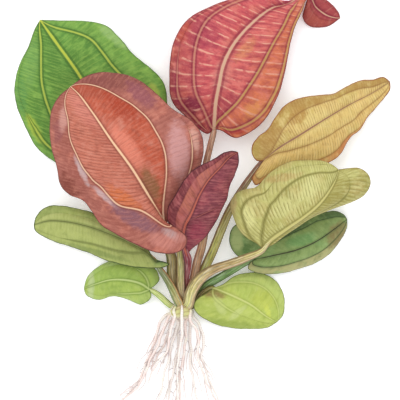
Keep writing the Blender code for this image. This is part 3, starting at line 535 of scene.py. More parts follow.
# Each root's route after it leaves the crown. Roots that cross lie at different heights.
ROOTS = [
    [
        (-27.5, -82, 4.5), (-32.5, -88.5, 2.6), (-35.5, -98, 1.8), (-38.5, -109, 1.35), (-43, -118.5, 1.35),
        (-46, -128, 1.35), (-52, -136.5, 1.25), (-60.5, -146, 1.25), (-68, -155, 0.8),
    ],
    [
        (-26, -84, 8), (-29.5, -93, 6), (-33.5, -103.5, 5), (-38.5, -113, 4.6), (-42.5, -124, 4.6),
        (-47.5, -133.5, 4.5), (-56, -142, 4.2), (-62.5, -146, 3.6),
    ],
    [(-23, -87, 3.8), (-26.5, -96, 2.2), (-29.5, -105, 1.4), (-35, -115, 1.25), (-39.5, -123, 1)],
    [
        (-22, -85.5, 14), (-24.5, -97, 10.5), (-26.5, -107, 8.3), (-32.5, -116, 7.5), (-38, -124.5, 6.9),
        (-41.5, -133, 6),
    ],
    [
        (-19, -86, 8.5), (-20.5, -94.5, 6.5), (-23, -104, 5), (-25, -114, 4.6), (-29, -125, 4.5),
        (-31, -137, 4.4), (-33.5, -150, 4.2), (-35, -163, 3.6),
    ],
    [
        (-17.5, -88, 3.2), (-18.5, -97.5, 2), (-18.5, -108, 1.35), (-20.5, -119, 1.35), (-23.5, -131, 1.25),
        (-26, -145.5, 1.25), (-27.5, -159, 0.8),
    ],
    [
        (-15.5, -87, 14.5), (-16, -97, 11), (-17, -108, 8.5), (-18.5, -119, 7.6), (-19, -131, 7.5),
        (-18.5, -148, 7.2), (-17, -161, 6.4),
    ],
    [
        (-12.5, -87, 8), (-12.5, -97, 6), (-14, -108, 5), (-15.5, -118.5, 4.6), (-17, -129, 4.5),
        (-17, -147, 4.2), (-16, -164, 3.6),
    ],
    [
        (-10, -87, 3.2), (-9.5, -97, 2), (-8.5, -108, 1.35), (-9.5, -119, 1.35), (-7, -131, 1.25),
        (-4, -145.5, 1.25), (-2.5, -160.5, 0.8),
    ],
    [
        (-9.5, -85, 12.5), (-5, -91.5, 9.8), (-2.5, -100.5, 8.2), (-4, -109.5, 7.6), (-2, -119, 7.5),
        (2, -129, 7.5), (7, -139.5, 7.2), (12.5, -151, 6.6),
    ],
    [
        (-7, -82.5, 7), (-2.5, -88.5, 5.5), (0.5, -95, 4.8), (0.5, -104, 4.5), (-1, -113, 4.5),
        (2.5, -123, 4.5), (6.5, -133, 4.4), (11.5, -145, 4.2), (16, -156, 3.6),
    ],
]

# The screen colours that are laid over the roots and the crown; the roots' flank colour is painted shade.
ROOT_TONES = SimpleNamespace(
    pink=0xeeccc4, cream=0xf4f0ce, sprout=0xd0d882, ring=0xba968c, flank=0x988686, fine=0x948a8e,
    speck=0xbaa89e,
)
CROWN_TONES = SimpleNamespace(young=0xcecc8a, green=0xbcc06e, base=0xece2d0, scar=0x967054, speck=0x9c7e64)


# Curves and surfaces


def smooth_line(points, at, matched=False):
    """A smooth curve through the points, read at fractions of its length or, if matched, of its points.
    Between two points it is the cubic that keeps the slopes there."""
    points = np.array(points, float)
    steps = np.linalg.norm(np.diff(points, axis=0), axis=1)
    if matched:
        steps = np.ones(len(steps))
    knots = np.concatenate([[0], np.cumsum(steps)]) / steps.sum()
    slopes = np.gradient(points, knots, axis=0)
    at = np.clip(at, 0, 1)
    span = np.clip(np.searchsorted(knots, at, side="right") - 1, 0, len(points) - 2)
    length = (knots[span + 1] - knots[span])[:, None]
    s = (at - knots[span])[:, None] / length
    start = (1 + 2 * s) * (1 - s) ** 2 * points[span] + s * (1 - s) ** 2 * length * slopes[span]
    end = s * s * (3 - 2 * s) * points[span + 1] + s * s * (s - 1) * length * slopes[span + 1]
    return start + end


def smooth_value(values, at):
    """A smooth value through evenly spaced ones, read at fractions from 0 to 1."""
    return smooth_line(np.array(values, float)[:, None], at, matched=True)[:, 0]


def margin_line(leaf, side, at):
    """A blade's margin at fractions of the way from base to tip, where its side's lead moves them on."""
    points = [leaf.midrib[0], *leaf.margins[side], leaf.midrib[-1]]
    return smooth_line(points, at ** leaf.lead[side], leaf.matched)


def blade_points(leaf, along, across):
    """The middle of a blade: the midrib's point, moved by its share of the way to the margin, and
    lifted between them by a low arch. Across runs from the left margin (-1) to the right one (1)."""
    midrib = smooth_line(leaf.midrib, along, leaf.matched)
    points = np.empty((len(along), 3))
    for side, sign in SIDES:
        half = across * sign >= 0
        here, share = along[half], np.abs(across[half])
        points[half, :2] = midrib[half] + share[:, None] * (margin_line(leaf, side, here) - midrib[half])
        low = smooth_value(leaf.rise, here)
        high = smooth_value(leaf.margin_rise[side], here ** leaf.lead[side])
        arch = leaf.bulge[side] * 4 * share * (1 - share) * np.sin(math.pi * here)
        points[half, 2] = low + share * (high - low) + arch
    return points


def crowded(even, crowding):
    """Even fractions, moved by a sine wave so that they crowd towards 0 and 1."""
    return even - crowding * np.sin(2 * math.pi * even) / (2 * math.pi)


def blade_rows(leaf, count):
    """Fractions from base to tip: even in a matched blade, or else crowded, most of all at the base."""
    even = np.linspace(0, 1, count)
    return even if leaf.matched else np.clip(crowded(even, BLADE_CROWDING), 0, 1) ** BLADE_EASE


def across_blade(leaf, along, lanes):
    """Shares across the blade of the given lanes: straight steps between one vein and the next."""
    across = np.zeros((len(along), len(lanes)))
    for side, sign in SIDES:
        veins = [smooth_value(vein, along) for vein in leaf.veins[side]]
        knots = np.array([np.zeros(len(along)), *veins, np.ones(len(along))])
        depth = np.clip(sign * lanes, 0, len(knots) - 1)
        whole = np.minimum(depth.astype(int), len(knots) - 2)
        part = (depth - whole)[:, None]
        across += sign * (knots[whole] * (1 - part) + knots[whole + 1] * part).T
    return across


def lane_marks(first, last, half_widths):
    """Lanes at which the blade is divided. They crowd beside the veins, so that a rib is crisp."""
    marks = []
    for lane in range(first, last):
        lane_width = half_widths[0] / -first if lane < 0 else half_widths[1] / last
        steps = max(LEAST_LANE_STEPS, round(lane_width / LANE_STEP))
        marks.append(lane + crowded(np.arange(steps) / steps, LANE_CROWDING))
    return np.concatenate([*marks, [last]])


def gap_to(points, line):
    """Distance from every point to the nearest point of a line."""
    squares = (points**2).sum(1)[:, None] + (line**2).sum(1) - 2 * points @ line.T
    return np.sqrt(np.clip(squares.min(1), 0, None))


def run_along(line):
    """Distance along a line of points from its start to each of them."""
    return np.concatenate([[0], np.cumsum(np.linalg.norm(np.diff(line, axis=0), axis=1))])


def waves(at, counts, draws):
    """A sum of sine waves with so many periods from 0 to 1 each, at drawn phases, for irregular edges."""
    return sum(np.sin(2 * math.pi * (count * at + draws.random())) / count**0.5 for count in counts)


def straight_step(value, low, high):
    """A straight step from 0 where the value is low to 1 where it is high."""
    return np.clip((value - low) / (high - low), 0, 1)


def sheet_faces(rows, columns):
    """Faces of a closed sheet. Its two sides share their rim, and each end row is one point."""
    top = np.arange(rows * columns).reshape(rows, columns)
    top[0], top[-1] = top[0, 0], top[-1, 0]
    under = top + rows * columns
    under[0], under[-1], under[:, 0], under[:, -1] = top[0], top[-1], top[:, 0], top[:, -1]
    quads, triangles = [], []
    for side, turn in ((top, 1), (under, -1)):
        body = side[1:-1]
        corners = np.stack([body[:-1, :-1], body[1:, :-1], body[1:, 1:], body[:-1, 1:]], -1)
        base = np.stack([side[0, :-1], side[1, :-1], side[1, 1:]], -1)
        tip = np.stack([side[-2, :-1], side[-1, :-1], side[-2, 1:]], -1)
        quads.append(corners.reshape(-1, 4)[:, ::turn])
        triangles.append(np.concatenate([base, tip])[:, ::turn])
    return np.concatenate(quads), np.concatenate(triangles)


def tube_faces(rings, sides):
    """Faces of a closed tube, whose first and last rings are closed by one point each."""
    ring = np.arange(rings * sides).reshape(rings, sides)
    after = np.roll(ring, -1, axis=1)
    quads = np.stack([ring[:-1], ring[1:], after[1:], after[:-1]], -1).reshape(-1, 4)
    first, last = rings * sides, rings * sides + 1
    start = np.stack([ring[0], after[0], np.full(sides, first)], -1)
    end = np.stack([after[-1], ring[-1], np.full(sides, last)], -1)
    return quads, np.concatenate([start, end])


def ring_angles(rings, sides):
    """The angle round a tube of each of its points, ring by ring."""
    return np.tile(np.linspace(0, 2 * math.pi, sides, endpoint=False), (rings, 1))


def tube_points(route, half_width, half_depth, angle, floor=None):
    """A tube along a route, with its two end points: each ring is an oval square to the route, its
    width lying level. Where a floor is given, the tube is flattened on it."""
    ahead = np.gradient(route, axis=0)
    ahead /= np.linalg.norm(ahead, axis=1)[:, None]
    sideways = np.cross(ahead, (0, 0, 1))
    sideways /= np.linalg.norm(sideways, axis=1)[:, None]
    upwards = np.cross(sideways, ahead)
    out = (half_width * np.cos(angle))[:, :, None] * sideways[:, None]
    up = (half_depth * np.sin(angle))[:, :, None] * upwards[:, None]
    surface = route[:, None] + out + up
    if floor:
        surface[:, :, 2] = np.maximum(surface[:, :, 2], floor)
    return np.concatenate([surface.reshape(-1, 3), route[:1], route[-1:]])


def tube_values(numbers, shape, ends):
    """A value for each of a tube's points: given for its rings or its sides, and then for its two ends."""
    return np.concatenate([np.broadcast_to(numbers, shape).ravel(), ends])


def link(name, data):
    """A new object with this data, put into the scene."""
    made = bpy.data.objects.new(name, data)
    bpy.context.scene.collection.objects.link(made)
    return made


def add_piece(name, points, faces, values, finish, node):
    """A closed mesh in place of its node, with the material's values on its points."""
    quads, triangles = faces
    used, corners = np.unique(np.concatenate([quads.ravel(), triangles.ravel()]), return_inverse=True)
    quads = corners[: quads.size].reshape(-1, 4).tolist()
    triangles = corners[len(quads) * 4 :].reshape(-1, 3).tolist()
    mesh = bpy.data.meshes.new(name)
    mesh.from_pydata(points[used] * MM, [], quads + triangles)
    for key, numbers in values.items():
        told = mesh.attributes.new(key, "FLOAT", "POINT")
        told.data.foreach_set("value", numbers[used].astype(np.float32))
    mesh.shade_smooth()
    mesh.materials.append(finish)
    piece = link(name, mesh)
    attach(piece, BODY)
    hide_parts(node)


# Materials


def screen(colour, tint=(1, 1, 1), share=1, base=0):
    """A screen colour as the light it stands for. Share and base make it darker or paler first, and
    the curve is the one that screens use."""
    parts = np.array([colour >> 16, colour >> 8 & 255, colour & 255]) * share + base
    parts = parts / 255
    light = np.where(parts <= 0.04045, parts / 12.92, ((parts + 0.055) / 1.055) ** 2.4)
    return (*np.clip(light * np.array(tint), 0, 1), 1)


def math_node(operation, turned=False):
    """An operator for wires. It adds one Math node, with its two numbers in order or turned round."""

    def operator(wire, other):
        return wire.worked(operation, *((other, wire) if turned else (wire, other)))

    return operator


class Wire:
    """A node's output, on which sums are written. Each sum adds its Math node."""

    def __init__(self, finish, socket):
        self.finish = finish
        self.socket = socket

    def worked(self, operation, *numbers):
        """The operation's result on these numbers and wires."""
        return self.finish.node("Math", {"operation": operation}, dict(enumerate(numbers)))

    def __abs__(self):
        """The value without its sign."""
        return self.worked("ABSOLUTE", self)

    __add__ = __radd__ = math_node("ADD")
    __sub__, __rsub__ = math_node("SUBTRACT"), math_node("SUBTRACT", turned=True)
    __mul__ = __rmul__ = math_node("MULTIPLY")
    __truediv__ = math_node("DIVIDE")
    __mod__ = math_node("FLOORED_MODULO")


class Finish:
    """A material, the one method that adds nodes to it, and the colour that has been laid on so far."""

    def __init__(self, name, roughness, specular=0.25, tint=(1, 1, 1)):
        self.material = bpy.data.materials.new(name)
        self.material.use_nodes = True
        self.tree = self.material.node_tree
        self.shader = self.tree.nodes["Principled BSDF"]
        self.shader.inputs["Roughness"].default_value = roughness
        self.shader.inputs["Specular IOR Level"].default_value = specular
        self.tint = tint
        self.colour = None
        metres = self.node("TexCoord", output="Object")
        self.place = self.node("VectorMath", {"operation": "SCALE"}, {0: metres, "Scale": 1 / MM})

    def node(self, kind, settings=None, values=None, output=0):
        """A node of a kind, with its settings, then the numbers or wires of its sockets."""
        made = self.tree.nodes.new("ShaderNode" + kind)
        for key, setting in (settings or {}).items():
            if key == "stops":
                self.set_stops(made.color_ramp, setting)
            else:
                setattr(made, key, setting)
        for key, value in (values or {}).items():
            if isinstance(value, Wire):
                self.tree.links.new(value.socket, made.inputs[key])
            else:
                made.inputs[key].default_value = value
        return Wire(self, made.outputs[output])

    def set_stops(self, colours, stops):
        """Puts the stops on a colour ramp, which starts out with two."""
        for position, colour in stops[1:-1]:
            colours.elements.new(position).color = colour
        colours.elements[0].position, colours.elements[0].color = stops[0]
        colours.elements[-1].position, colours.elements[-1].color = stops[-1]

    def values(self, names):
        """The values of these names that the mesh carries on its points."""
        return [self.node("Attribute", {"attribute_name": name}, output="Fac") for name in names.split()]

    def noise(self, size, detail=2.0, place=None):
        """Cloudy noise from 0 to 1, with clouds about so many millimetres wide."""
        values = {"Vector": place or self.place, "Scale": 1 / size, "Detail": detail, "Roughness": 0.55}
        return self.node("TexNoise", None, values)

    def step(self, value, low, high):
        """A soft step from 0 at low to 1 at high."""
        return self.node("MapRange", {"interpolation_type": "SMOOTHSTEP"}, {0: value, 1: low, 2: high})

    def fall(self, value, low, high):
        """A soft step from 1 at low to 0 at high."""
        return 1 - self.step(value, low, high)

    def lines(self, phase, width):
        """Thin lines, one at each whole number of the phase, so wide a share of their step."""
        return self.fall(abs((phase + 0.5) % 1.0 - 0.5), width * 0.35, width)

    def patch(self, patch, lane, cloud):
        """A soft oval on the surface, kept between two lanes, with a cloudy edge."""
        x, y, reach_x, reach_y, turn, _, low, high, strength = patch
        placed = {
            "Vector": self.place, "Location": (x, y, 0), "Rotation": (0, 0, math.radians(turn)),
            "Scale": (reach_x, reach_y, 1000),
        }
        inside = self.node("Mapping", {"vector_type": "TEXTURE"}, placed)
        away = self.node("VectorMath", {"operation": "LENGTH"}, {0: inside}, "Value")
        mask = self.fall(away + (cloud - 0.5) * 1.1, 0.5, 1.2) * strength
        return mask * self.step(lane, low - 0.02, low + 0.03) * self.fall(lane, high - 0.03, high + 0.02)

    def shades(self, stops, place):
        """Colours that change along a value from 0 to 1."""
        return self.node("ValToRGB", {"stops": stops}, {0: place})

    def mix(self, share, first, second):
        """First, turning to second as the share goes from 0 to 1."""
        return self.node("Mix", {"data_type": "RGBA"}, {0: share, 6: first, 7: second}, 2)

    def lay(self, mask, tone):
        """Lays a screen colour, or a ready one, over the colour so far where the mask is 1."""
        ready = screen(tone, self.tint) if isinstance(tone, int) else tone
        self.colour = self.mix(mask, self.colour, ready)

    def done(self, roughness, height, depth):
        """The material, with its colour, its roughness and small relief so many millimetres deep."""
        normal = self.node("Bump", None, {"Strength": 1.0, "Distance": depth * MM, "Height": height})
        for name, wire in (("Base Color", self.colour), ("Roughness", roughness), ("Normal", normal)):
            self.tree.links.new(wire.socket, self.shader.inputs[name])
        return self.material


def lane_stops(colours):
    """Stops of a colour ramp over the lanes: each lane has its own colour, which changes at the vein."""
    return [((k + end) / len(colours), colour) for k, colour in enumerate(colours) for end in (0.06, 0.94)]


def blade_finish(name, colours):
    """A leaf's colours: lanes between the veins, washes, patches, strokes across, painted light and shade,
    then margin and veins.
    """
    leaf, look = LEAVES[name], LOOKS[name]
    finish = Finish(f"{name}_leaf", 0.5, 0.15, colours.leaf_tint)
    step, fall, lay, noise = finish.step, finish.fall, finish.lay, finish.noise
    lane, along, edge, rib, keel, cross, side, under = finish.values(
        "lane along edge rib keel cross side under"
    )
    wide, cloud, grain, breaks = noise(18), noise(4.5, 4), noise(0.9, 3), noise(6)

    def brushed(length, width, detail):
        """Noise of such a length and width in millimetres, drawn out along the cross veins."""
        place = {0: cross * (look.cross_step / width), 1: side / length}
        return noise(1.0, detail, finish.node("CombineXYZ", None, place))

    stroke, sweep = brushed(8, look.stroke_size, 2.5), brushed(10, 3.2, 2)
    ramp_place = (lane + (len(leaf.veins[0]) + 1)) / len(look.lanes)
    finish.colour = finish.shades(lane_stops([screen(tone, finish.tint) for tone in look.lanes]), ramp_place)
    hatch = finish.shades(lane_stops([(share, share, share, 1) for share in look.hatch]), ramp_place)
    clouds = wide * 0.45 + cloud * 0.55
    lay(step(wide, 0.5, 0.66) * 0.5, look.accent)
    lay(step(clouds, 0.5, 0.72) * 0.5, look.light)
    lay(fall(clouds, 0.3, 0.5) * 0.45, look.deep)
    lay(step(sweep, 0.5, 0.64) * look.washes, look.light)
    lay(fall(sweep, 0.36, 0.5) * look.washes, look.deep)
    for patch in look.patches:
        lay(finish.patch(patch, lane, cloud), patch[5])
    drawn = hatch * look.strokes
    lay(step(stroke, 0.52, 0.7) * drawn, look.light)
    lay(fall(stroke, 0.32, 0.48) * drawn * 0.8, look.deep)

    phase = cross + (cloud - 0.5) * (1.2 / look.cross_step)
    broken = step(breaks, 0.36, 0.56) * hatch * look.cross_strength
    # Beside each cross vein lies a band of painted shade where its colour is darker than the blade, and of
    # painted highlight where it is paler, so that the vein looks raised.
    lay(finish.lines(phase + 0.3, look.cross_width * 2) * broken * 0.55, look.cross_shade)
    lay(finish.lines(phase, look.cross_width) * broken, look.cross)
    # Painted shade over the end of the blade, where it bends down away from the light.
    if look.tip:
        tone, start, full = look.tip
        lay(step(along, start, full) * 0.75, tone)
    # Painted shade: the blade darkens in the hollows beside each vein and the midrib, and a thin line of
    # painted shade runs along each side of a vein.
    for ridge in (rib, keel):
        lay(fall(ridge, 1.2, 5.5) * look.gutter, look.deep)
        beside = fall(abs(ridge - 2.0), 0.3, 1.1) * (1.2 * look.gutter)
        lay(beside, screen(look.deep, finish.tint, 0.85))
    lay(step(grain, 0.5, 0.8) * 0.25, look.light)
    lay(fall(grain, 0.2, 0.48) * 0.25, look.deep)
    lay(fall(edge + (cloud - 0.5) * 0.8, look.margin_width * 0.5, look.margin_width * 1.7), look.margin)
    vein = fall(rib + (cloud - 0.5) * 0.7, 0.5, 1.3)
    left, right = (screen(tone, finish.tint) for tone in look.vein)
    lay(vein * look.vein_strength, finish.mix(step(lane, -0.1, 0.1), left, right))
    midrib = fall(keel + (cloud - 0.5) * 0.5, 0.6, 1.3)
    lay(midrib * 0.95, look.midrib)
    lay(under * (0.8 - vein * 0.5), look.under)
    return finish.done(0.46 + grain * 0.16 - midrib * 0.06, grain * 0.4 + stroke * 0.6, 0.16)


def stalk_finish(name, colours):
    """Long fibres over colours from sheath to blade, its own two edges, and painted shade in grooves and on
    flanks.
    """
    look = LOOKS[name]
    finish = Finish(f"{name}_stalk", 0.45, tint=colours.stalk_tint)
    step, fall, lay, noise = finish.step, finish.fall, finish.lay, finish.noise
    along, across, up, length, groove = finish.values("along across up length groove")
    tones = [screen(tone, finish.tint) for tone in look.stalk_tones]
    finish.colour = finish.shades([(k / (len(tones) - 1), tone) for k, tone in enumerate(tones)], along)
    fibre_place = finish.node("CombineXYZ", None, {0: across * 3.4, 1: up * 3.4, 2: length * 0.06})
    fibres, strands, cloud = noise(1.0, 3, fibre_place), noise(0.4, 2, fibre_place), noise(3.0, 3)
    # A darker copy of the stalk's colour, used for its dark strands and for painted shade.
    shade = screen(look.stalk_tones[1], finish.tint, 0.48)
    glow = screen(look.stalk_tones[1], finish.tint, 0.5, 128)
    left, right = look.stalk_edges
    strayed = across + (cloud - 0.5) * 0.4
    lay(step(fibres, 0.48, 0.64) * 0.65, glow)
    lay(fall(strayed, -0.85, -0.45) * 0.85, left)
    lay(step(strayed, 0.45, 0.85) * 0.85, right)
    lay(fall(strands, 0.34, 0.48) * 0.75, shade)
    # Painted shade in the grooves between the ribs and on the stalk's two flanks.
    lay(groove * 0.5, shade)
    lay(step(abs(across), 0.9, 1.0) * 0.6, shade)
    return finish.done(0.4 + fibres * 0.2, fibres, 0.1)


def root_finish(colours):
    """Pale roots, pinkish in places, greener at the stem, greyish on their rootlets, with painted shade on
    their flanks.
    """
    finish = Finish("root", 0.5, 0.3)
    step, fall, lay = finish.step, finish.fall, finish.lay
    along, length, shade, flank, twig = finish.values("along length shade flank twig")
    cloud, grain = finish.noise(7, 3), finish.noise(0.8)
    finish.colour = (*colours.root_colour, 1)
    lay(step(cloud + shade * 0.2, 0.46, 0.7) * 0.45, ROOT_TONES.pink)
    lay(fall(cloud, 0.25, 0.42) * 0.4, ROOT_TONES.cream)
    lay(fall(along, 0.0, 0.14) * step(shade, 0.0, 0.4) * 0.8, ROOT_TONES.sprout)
    lay(finish.lines(length / 1.6 + cloud * 1.5, 0.25) * 0.15, ROOT_TONES.ring)
    # Painted shade on the flanks of each root, where they turn away from the light.
    lay(step(flank, 0.74, 0.96) * 0.7, ROOT_TONES.flank)
    lay(twig * 0.75, ROOT_TONES.fine)
    lay(fall(grain, 0.25, 0.5) * 0.2, ROOT_TONES.speck)
    return finish.done(0.42 + grain * 0.2, grain, 0.08)


def crown_finish(colours):
    """A pale stem, pinkish tan where the stalks leave it and greenish between them."""
    finish = Finish("crown", 0.6)
    step, fall, lay = finish.step, finish.fall, finish.lay
    scar, along = finish.values("scar along")
    cloud, grain = finish.noise(3, 3), finish.noise(0.7, 3)
    finish.colour = screen(CROWN_TONES.young)
    lay(step(along, 0.5, 0.85), (*colours.crown_colour, 1))
    lay(step(cloud, 0.5, 0.7) * 0.5, CROWN_TONES.green)
    lay(fall(along, 0.1, 0.4), CROWN_TONES.base)
    lay(scar * 0.5, CROWN_TONES.scar)
    lay(fall(grain, 0.3, 0.5) * 0.35, CROWN_TONES.speck)
    return finish.done(0.52 + grain * 0.2, grain, 0.15)


# Pieces


def make_blade(name, sizes, colours):
    """A leaf blade. Its middle surface is ruled from the midrib to the margins, and the blade stands half
    its thickness to each side of it. Between two veins it swells as half a sine wave. A rib stands on
    each vein as a bell curve, and fine furrows follow the cross veins."""
    leaf, look = LEAVES[name], LOOKS[name]
    draws = np.random.default_rng(len(name) + ord(name[0]))
    even = np.linspace(0, 1, MEASURING_STEPS)
    ends = [margin_line(leaf, side, even) for side, _ in SIDES]
    middle = smooth_line(leaf.midrib, even, leaf.matched)
    half_widths = [np.linalg.norm(end - middle, axis=1).max() for end in ends]
    rows = round(max(run_along(line)[-1] for line in (*ends, middle)) / GRID_STEP)
    along = blade_rows(leaf, rows)
    first, last = -len(leaf.veins[0]) - 1, len(leaf.veins[1]) + 1
    lanes = lane_marks(first, last, half_widths)
    across = across_blade(leaf, along, lanes)
    flat_along = np.repeat(along, len(lanes))
    surface = blade_points(leaf, flat_along, across.ravel()).reshape(rows, len(lanes), 3)

    def lane_line(lane):
        """The surface's points along a lane."""
        return surface[:, np.argmin(np.abs(lanes - lane))]

    calm_ends = np.clip(np.sin(math.pi * along) * 3, 0, 1)[:, None]
    for _, sign in SIDES:
        half = across * sign > 0
        ruffle = look.wave * waves(along, (2.6, 6.3), draws)[:, None]
        jitter = sizes.margin_jitter / MM * waves(along, (5.7, 11.3, 23.1), draws)[:, None]
        aside = surface - lane_line(0)[:, None]
        aside /= np.linalg.norm(aside, axis=2)[:, :, None] + 1e-6
        surface += (half * np.abs(across) ** 4 * jitter * calm_ends)[:, :, None] * aside
        surface[:, :, 2] += half * np.abs(across) ** 3 * ruffle * calm_ends * 0.6

    out = np.cross(np.gradient(surface, axis=0), np.gradient(surface, axis=1))
    out /= np.linalg.norm(out, axis=2)[:, :, None] + 1e-9
    out[0], out[-1] = out[1], out[-2]
    facing = 1 if out[:, :, 2].mean() > 0 else -1
    outwards = (facing * out).reshape(-1, 3)

    flat = surface.reshape(-1, 3)
    offset = gap_to(flat, lane_line(0))
    narrow = (1 - look.narrowing * flat_along) * (0.35 + 0.65 * straight_step(flat_along, 1, 0.88))
    keel = offset / (look.midrib_width * narrow + 0.12)
    rib = np.full(len(flat), LINE_LIMIT)
    for lane in (*range(first + 1, 0), *range(1, last)):
        start, end = look.shown.get(lane, (-1, 2))
        seen = straight_step(flat_along, start, start + 0.06)
        seen *= straight_step(flat_along, end, end - 0.12)
        width = look.vein_width * narrow * seen + 0.1 * seen + 1e-3
        rib = np.minimum(rib, gap_to(flat, lane_line(lane)) / width)
    edge = np.minimum(gap_to(flat, surface[:, 0]), gap_to(flat, surface[:, -1]))

    lane_grid = np.tile(lanes, rows)
    cell = lane_grid - np.floor(lane_grid)
    lean = np.where(lane_grid < 0, *look.cross_lean)
    cross = (np.repeat(run_along(lane_line(0)), len(lanes)) + lean * offset) / look.cross_step
    furrow = np.clip(1 - np.abs((cross + 0.5) % 1 - 0.5) / 0.25, 0, 1) ** 2
    lengthwise = np.sin(math.pi * flat_along)
    calm = np.clip(4 * cell * (1 - cell), 0, 1) * np.clip(edge / FURROW_RUN, 0, 1) * lengthwise
    quilt = np.sin(math.pi * cell) * np.clip(edge / QUILT_RUN, 0, 1) * np.clip(lengthwise * 2, 0, 1)
    quilt *= sizes.quilt_height / MM
    ridge = (np.exp(-(rib**2)) + MIDRIB_RELIEF * np.exp(-(keel**2))) * np.clip(edge / VEIN_RUN, 0, 1)
    ridge *= sizes.vein_height / MM
    lift = quilt + ridge - sizes.cross_vein_depth / MM * furrow * calm
    lift[edge < 1e-6] = 0
    drop = UNDER_RELIEF * ridge - UNDER_QUILT * quilt
    half_thickness = sizes.blade_thickness / MM / 2 * np.clip(edge / RIM_ROUNDING, 0, 1) ** 0.5
    top = flat + outwards * (half_thickness + lift)[:, None]
    under = flat - outwards * (half_thickness + drop)[:, None]
    under[:, 2] = np.maximum(under[:, 2], BLADE_FLOOR)
    top[:, 2] = np.maximum(top[:, 2], under[:, 2] + LEAST_THICKNESS)

    both = {
        "lane": lane_grid, "along": flat_along, "edge": np.minimum(edge, LINE_LIMIT),
        "rib": np.minimum(rib, LINE_LIMIT), "keel": np.minimum(keel, LINE_LIMIT), "cross": cross,
        "side": offset * np.sign(lane_grid),
    }
    values = {key: np.tile(numbers, 2) for key, numbers in both.items()}
    values["under"] = np.repeat([0.0, 1.0], len(flat))
    faces = [corners[:, ::facing] for corners in sheet_faces(rows, len(lanes))]
    points, finish = np.concatenate([top, under]), blade_finish(name, colours)
    add_piece(f"{name}_blade", points, faces, values, finish, f"leaf_{name}_blade")


def make_stalk(name, sizes, colours):
    """A leaf stalk: an oval tube with long ribs as a cosine round it, wider as a sheath at the crown,
    channelled above there, and running on along the midrib until it has thinned away."""
    leaf, look = LEAVES[name], LOOKS[name]
    join = np.array(STALK_JOIN) * (0.5 if leaf.matched else 1)
    keel = blade_points(leaf, join, np.zeros(len(join)))
    keel[:, 2] += np.linspace(*(JOIN_ON_TOP if look.stalk_on_top else JOIN_UNDER), len(join))
    start = np.array(leaf.stalk[0])
    inner = start + (np.array(CROWN_CENTRE) - start) * INTO_CROWN
    route = [inner.tolist(), *leaf.stalk[:-1], *keel.tolist()]
    lengths = run_along(route)
    rings = round(lengths[-1] / STALK_STEP)
    at = np.linspace(0, 1, rings)
    line = smooth_line(route, at)
    part = (at * lengths[-1] - lengths[1]) / run_along(leaf.stalk)[-1]
    shrink = (1 - straight_step(part, 1, part[-1])) ** 1.3 * (1 - STALK_END) + STALK_END
    sheath = 1 + sizes.sheath_flare * np.exp(-((np.clip(part, 0, 1) / SHEATH_RUN) ** 2))
    width = smooth_value(leaf.stalk_width, part) / 2 * shrink * sheath
    depth = smooth_value(STALK_DEPTH, part) / 2 * (0.35 + 0.65 * shrink)
    angle = ring_angles(rings, STALK_SIDES)
    ribs = np.cos(STALK_RIBS * angle) * sizes.stalk_groove
    channel = CHANNEL_DEPTH * np.exp(-(((angle - math.pi / 2) / CHANNEL_WIDTH) ** 2))
    channel *= np.clip(1 - part * 2.2, 0, 1)[:, None]
    closing = np.ones(rings)
    closing[:2] = 0, 0.75**0.5
    scale = (1 + ribs - channel) * (0.25 + 0.75 * closing)[:, None]
    points = tube_points(line, width[:, None] * scale, depth[:, None] * scale, angle, STALK_FLOOR)
    by_point = {
        "along": (np.clip(part, 0, 1)[:, None], (0, 1)),
        "across": (np.cos(angle), (0, 0)),
        "up": (np.sin(angle), (0, 0)),
        "length": ((at * lengths[-1])[:, None], (0, lengths[-1])),
        "groove": (np.clip(-np.cos(STALK_RIBS * angle), 0, 1) ** 2, (0, 0)),
    }
    values = {key: tube_values(numbers, angle.shape, ends) for key, (numbers, ends) in by_point.items()}
    faces, finish = tube_faces(rings, STALK_SIDES), stalk_finish(name, colours)
    add_piece(f"{name}_stalk", points, faces, values, finish, f"leaf_{name}_stalk")


def root_parts(draws, line, radius, at, sizes):
    """The tubes of one root, as routes, radii, fractions along it and fineness: the root, then its side
    roots, which drift away from it as half a cosine wave, then its rootlets, which leave it sideways."""
    parts = [(line, radius, at, 0.0)]
    for k, place in enumerate(np.linspace(0.16, 0.6, SIDE_ROOTS) + draws.uniform(-0.05, 0.05, SIDE_ROOTS)):
        t = np.linspace(0, 1, SIDE_ROOT_STEPS)
        run = place + t * min(draws.uniform(0.3, 0.5), 0.98 - place)
        twin = smooth_line(line, run)
        drift = sizes.side_root_drift / MM * draws.uniform(0.5, 1) * (-1) ** k
        ahead = np.gradient(twin, axis=0)
        aside = np.cross(ahead / np.linalg.norm(ahead, axis=1)[:, None], (0, 0, 1))
        sway = drift * (1 - np.cos(math.pi * t)) / 2 + 0.4 * waves(t, (2.1, 4.3), draws) * t
        twin += aside * sway[:, None]
        thin = SIDE_ROOT_RADIUS * (1 - 0.62 * t)
        twin[:, 2] = np.maximum(twin[:, 2] * (1 - 0.5 * t), thin + ROOT_CLEARANCE)
        parts.append((twin, thin, run, 0.25))
    for place in draws.uniform(0.2, 0.95, ROOTLETS):
        start, back, front = smooth_line(line, np.array([place, place - 0.02, place + 0.02]))
        ahead = (front - back) / np.linalg.norm(front - back)
        sideways = np.cross(ahead, (0, 0, 1)) * draws.choice([-1, 1])
        reach = sizes.rootlet_length / MM * draws.uniform(0.4, 1.0)
        t = np.linspace(0, 1, ROOTLET_STEPS)
        twig = start + reach * (t * (1 - 0.35 * t))[:, None] * sideways
        twig += reach * draws.uniform(0.35, 1.1) * (t**1.6)[:, None] * ahead
        twig[:, 2] = np.maximum(twig[:, 2] - reach * 0.15 * t, ROOTLET_FLOOR)
        parts.append((twig, ROOTLET_RADIUS * (1 - 0.7 * t), np.full(ROOTLET_STEPS, place), 1.0))
    return parts


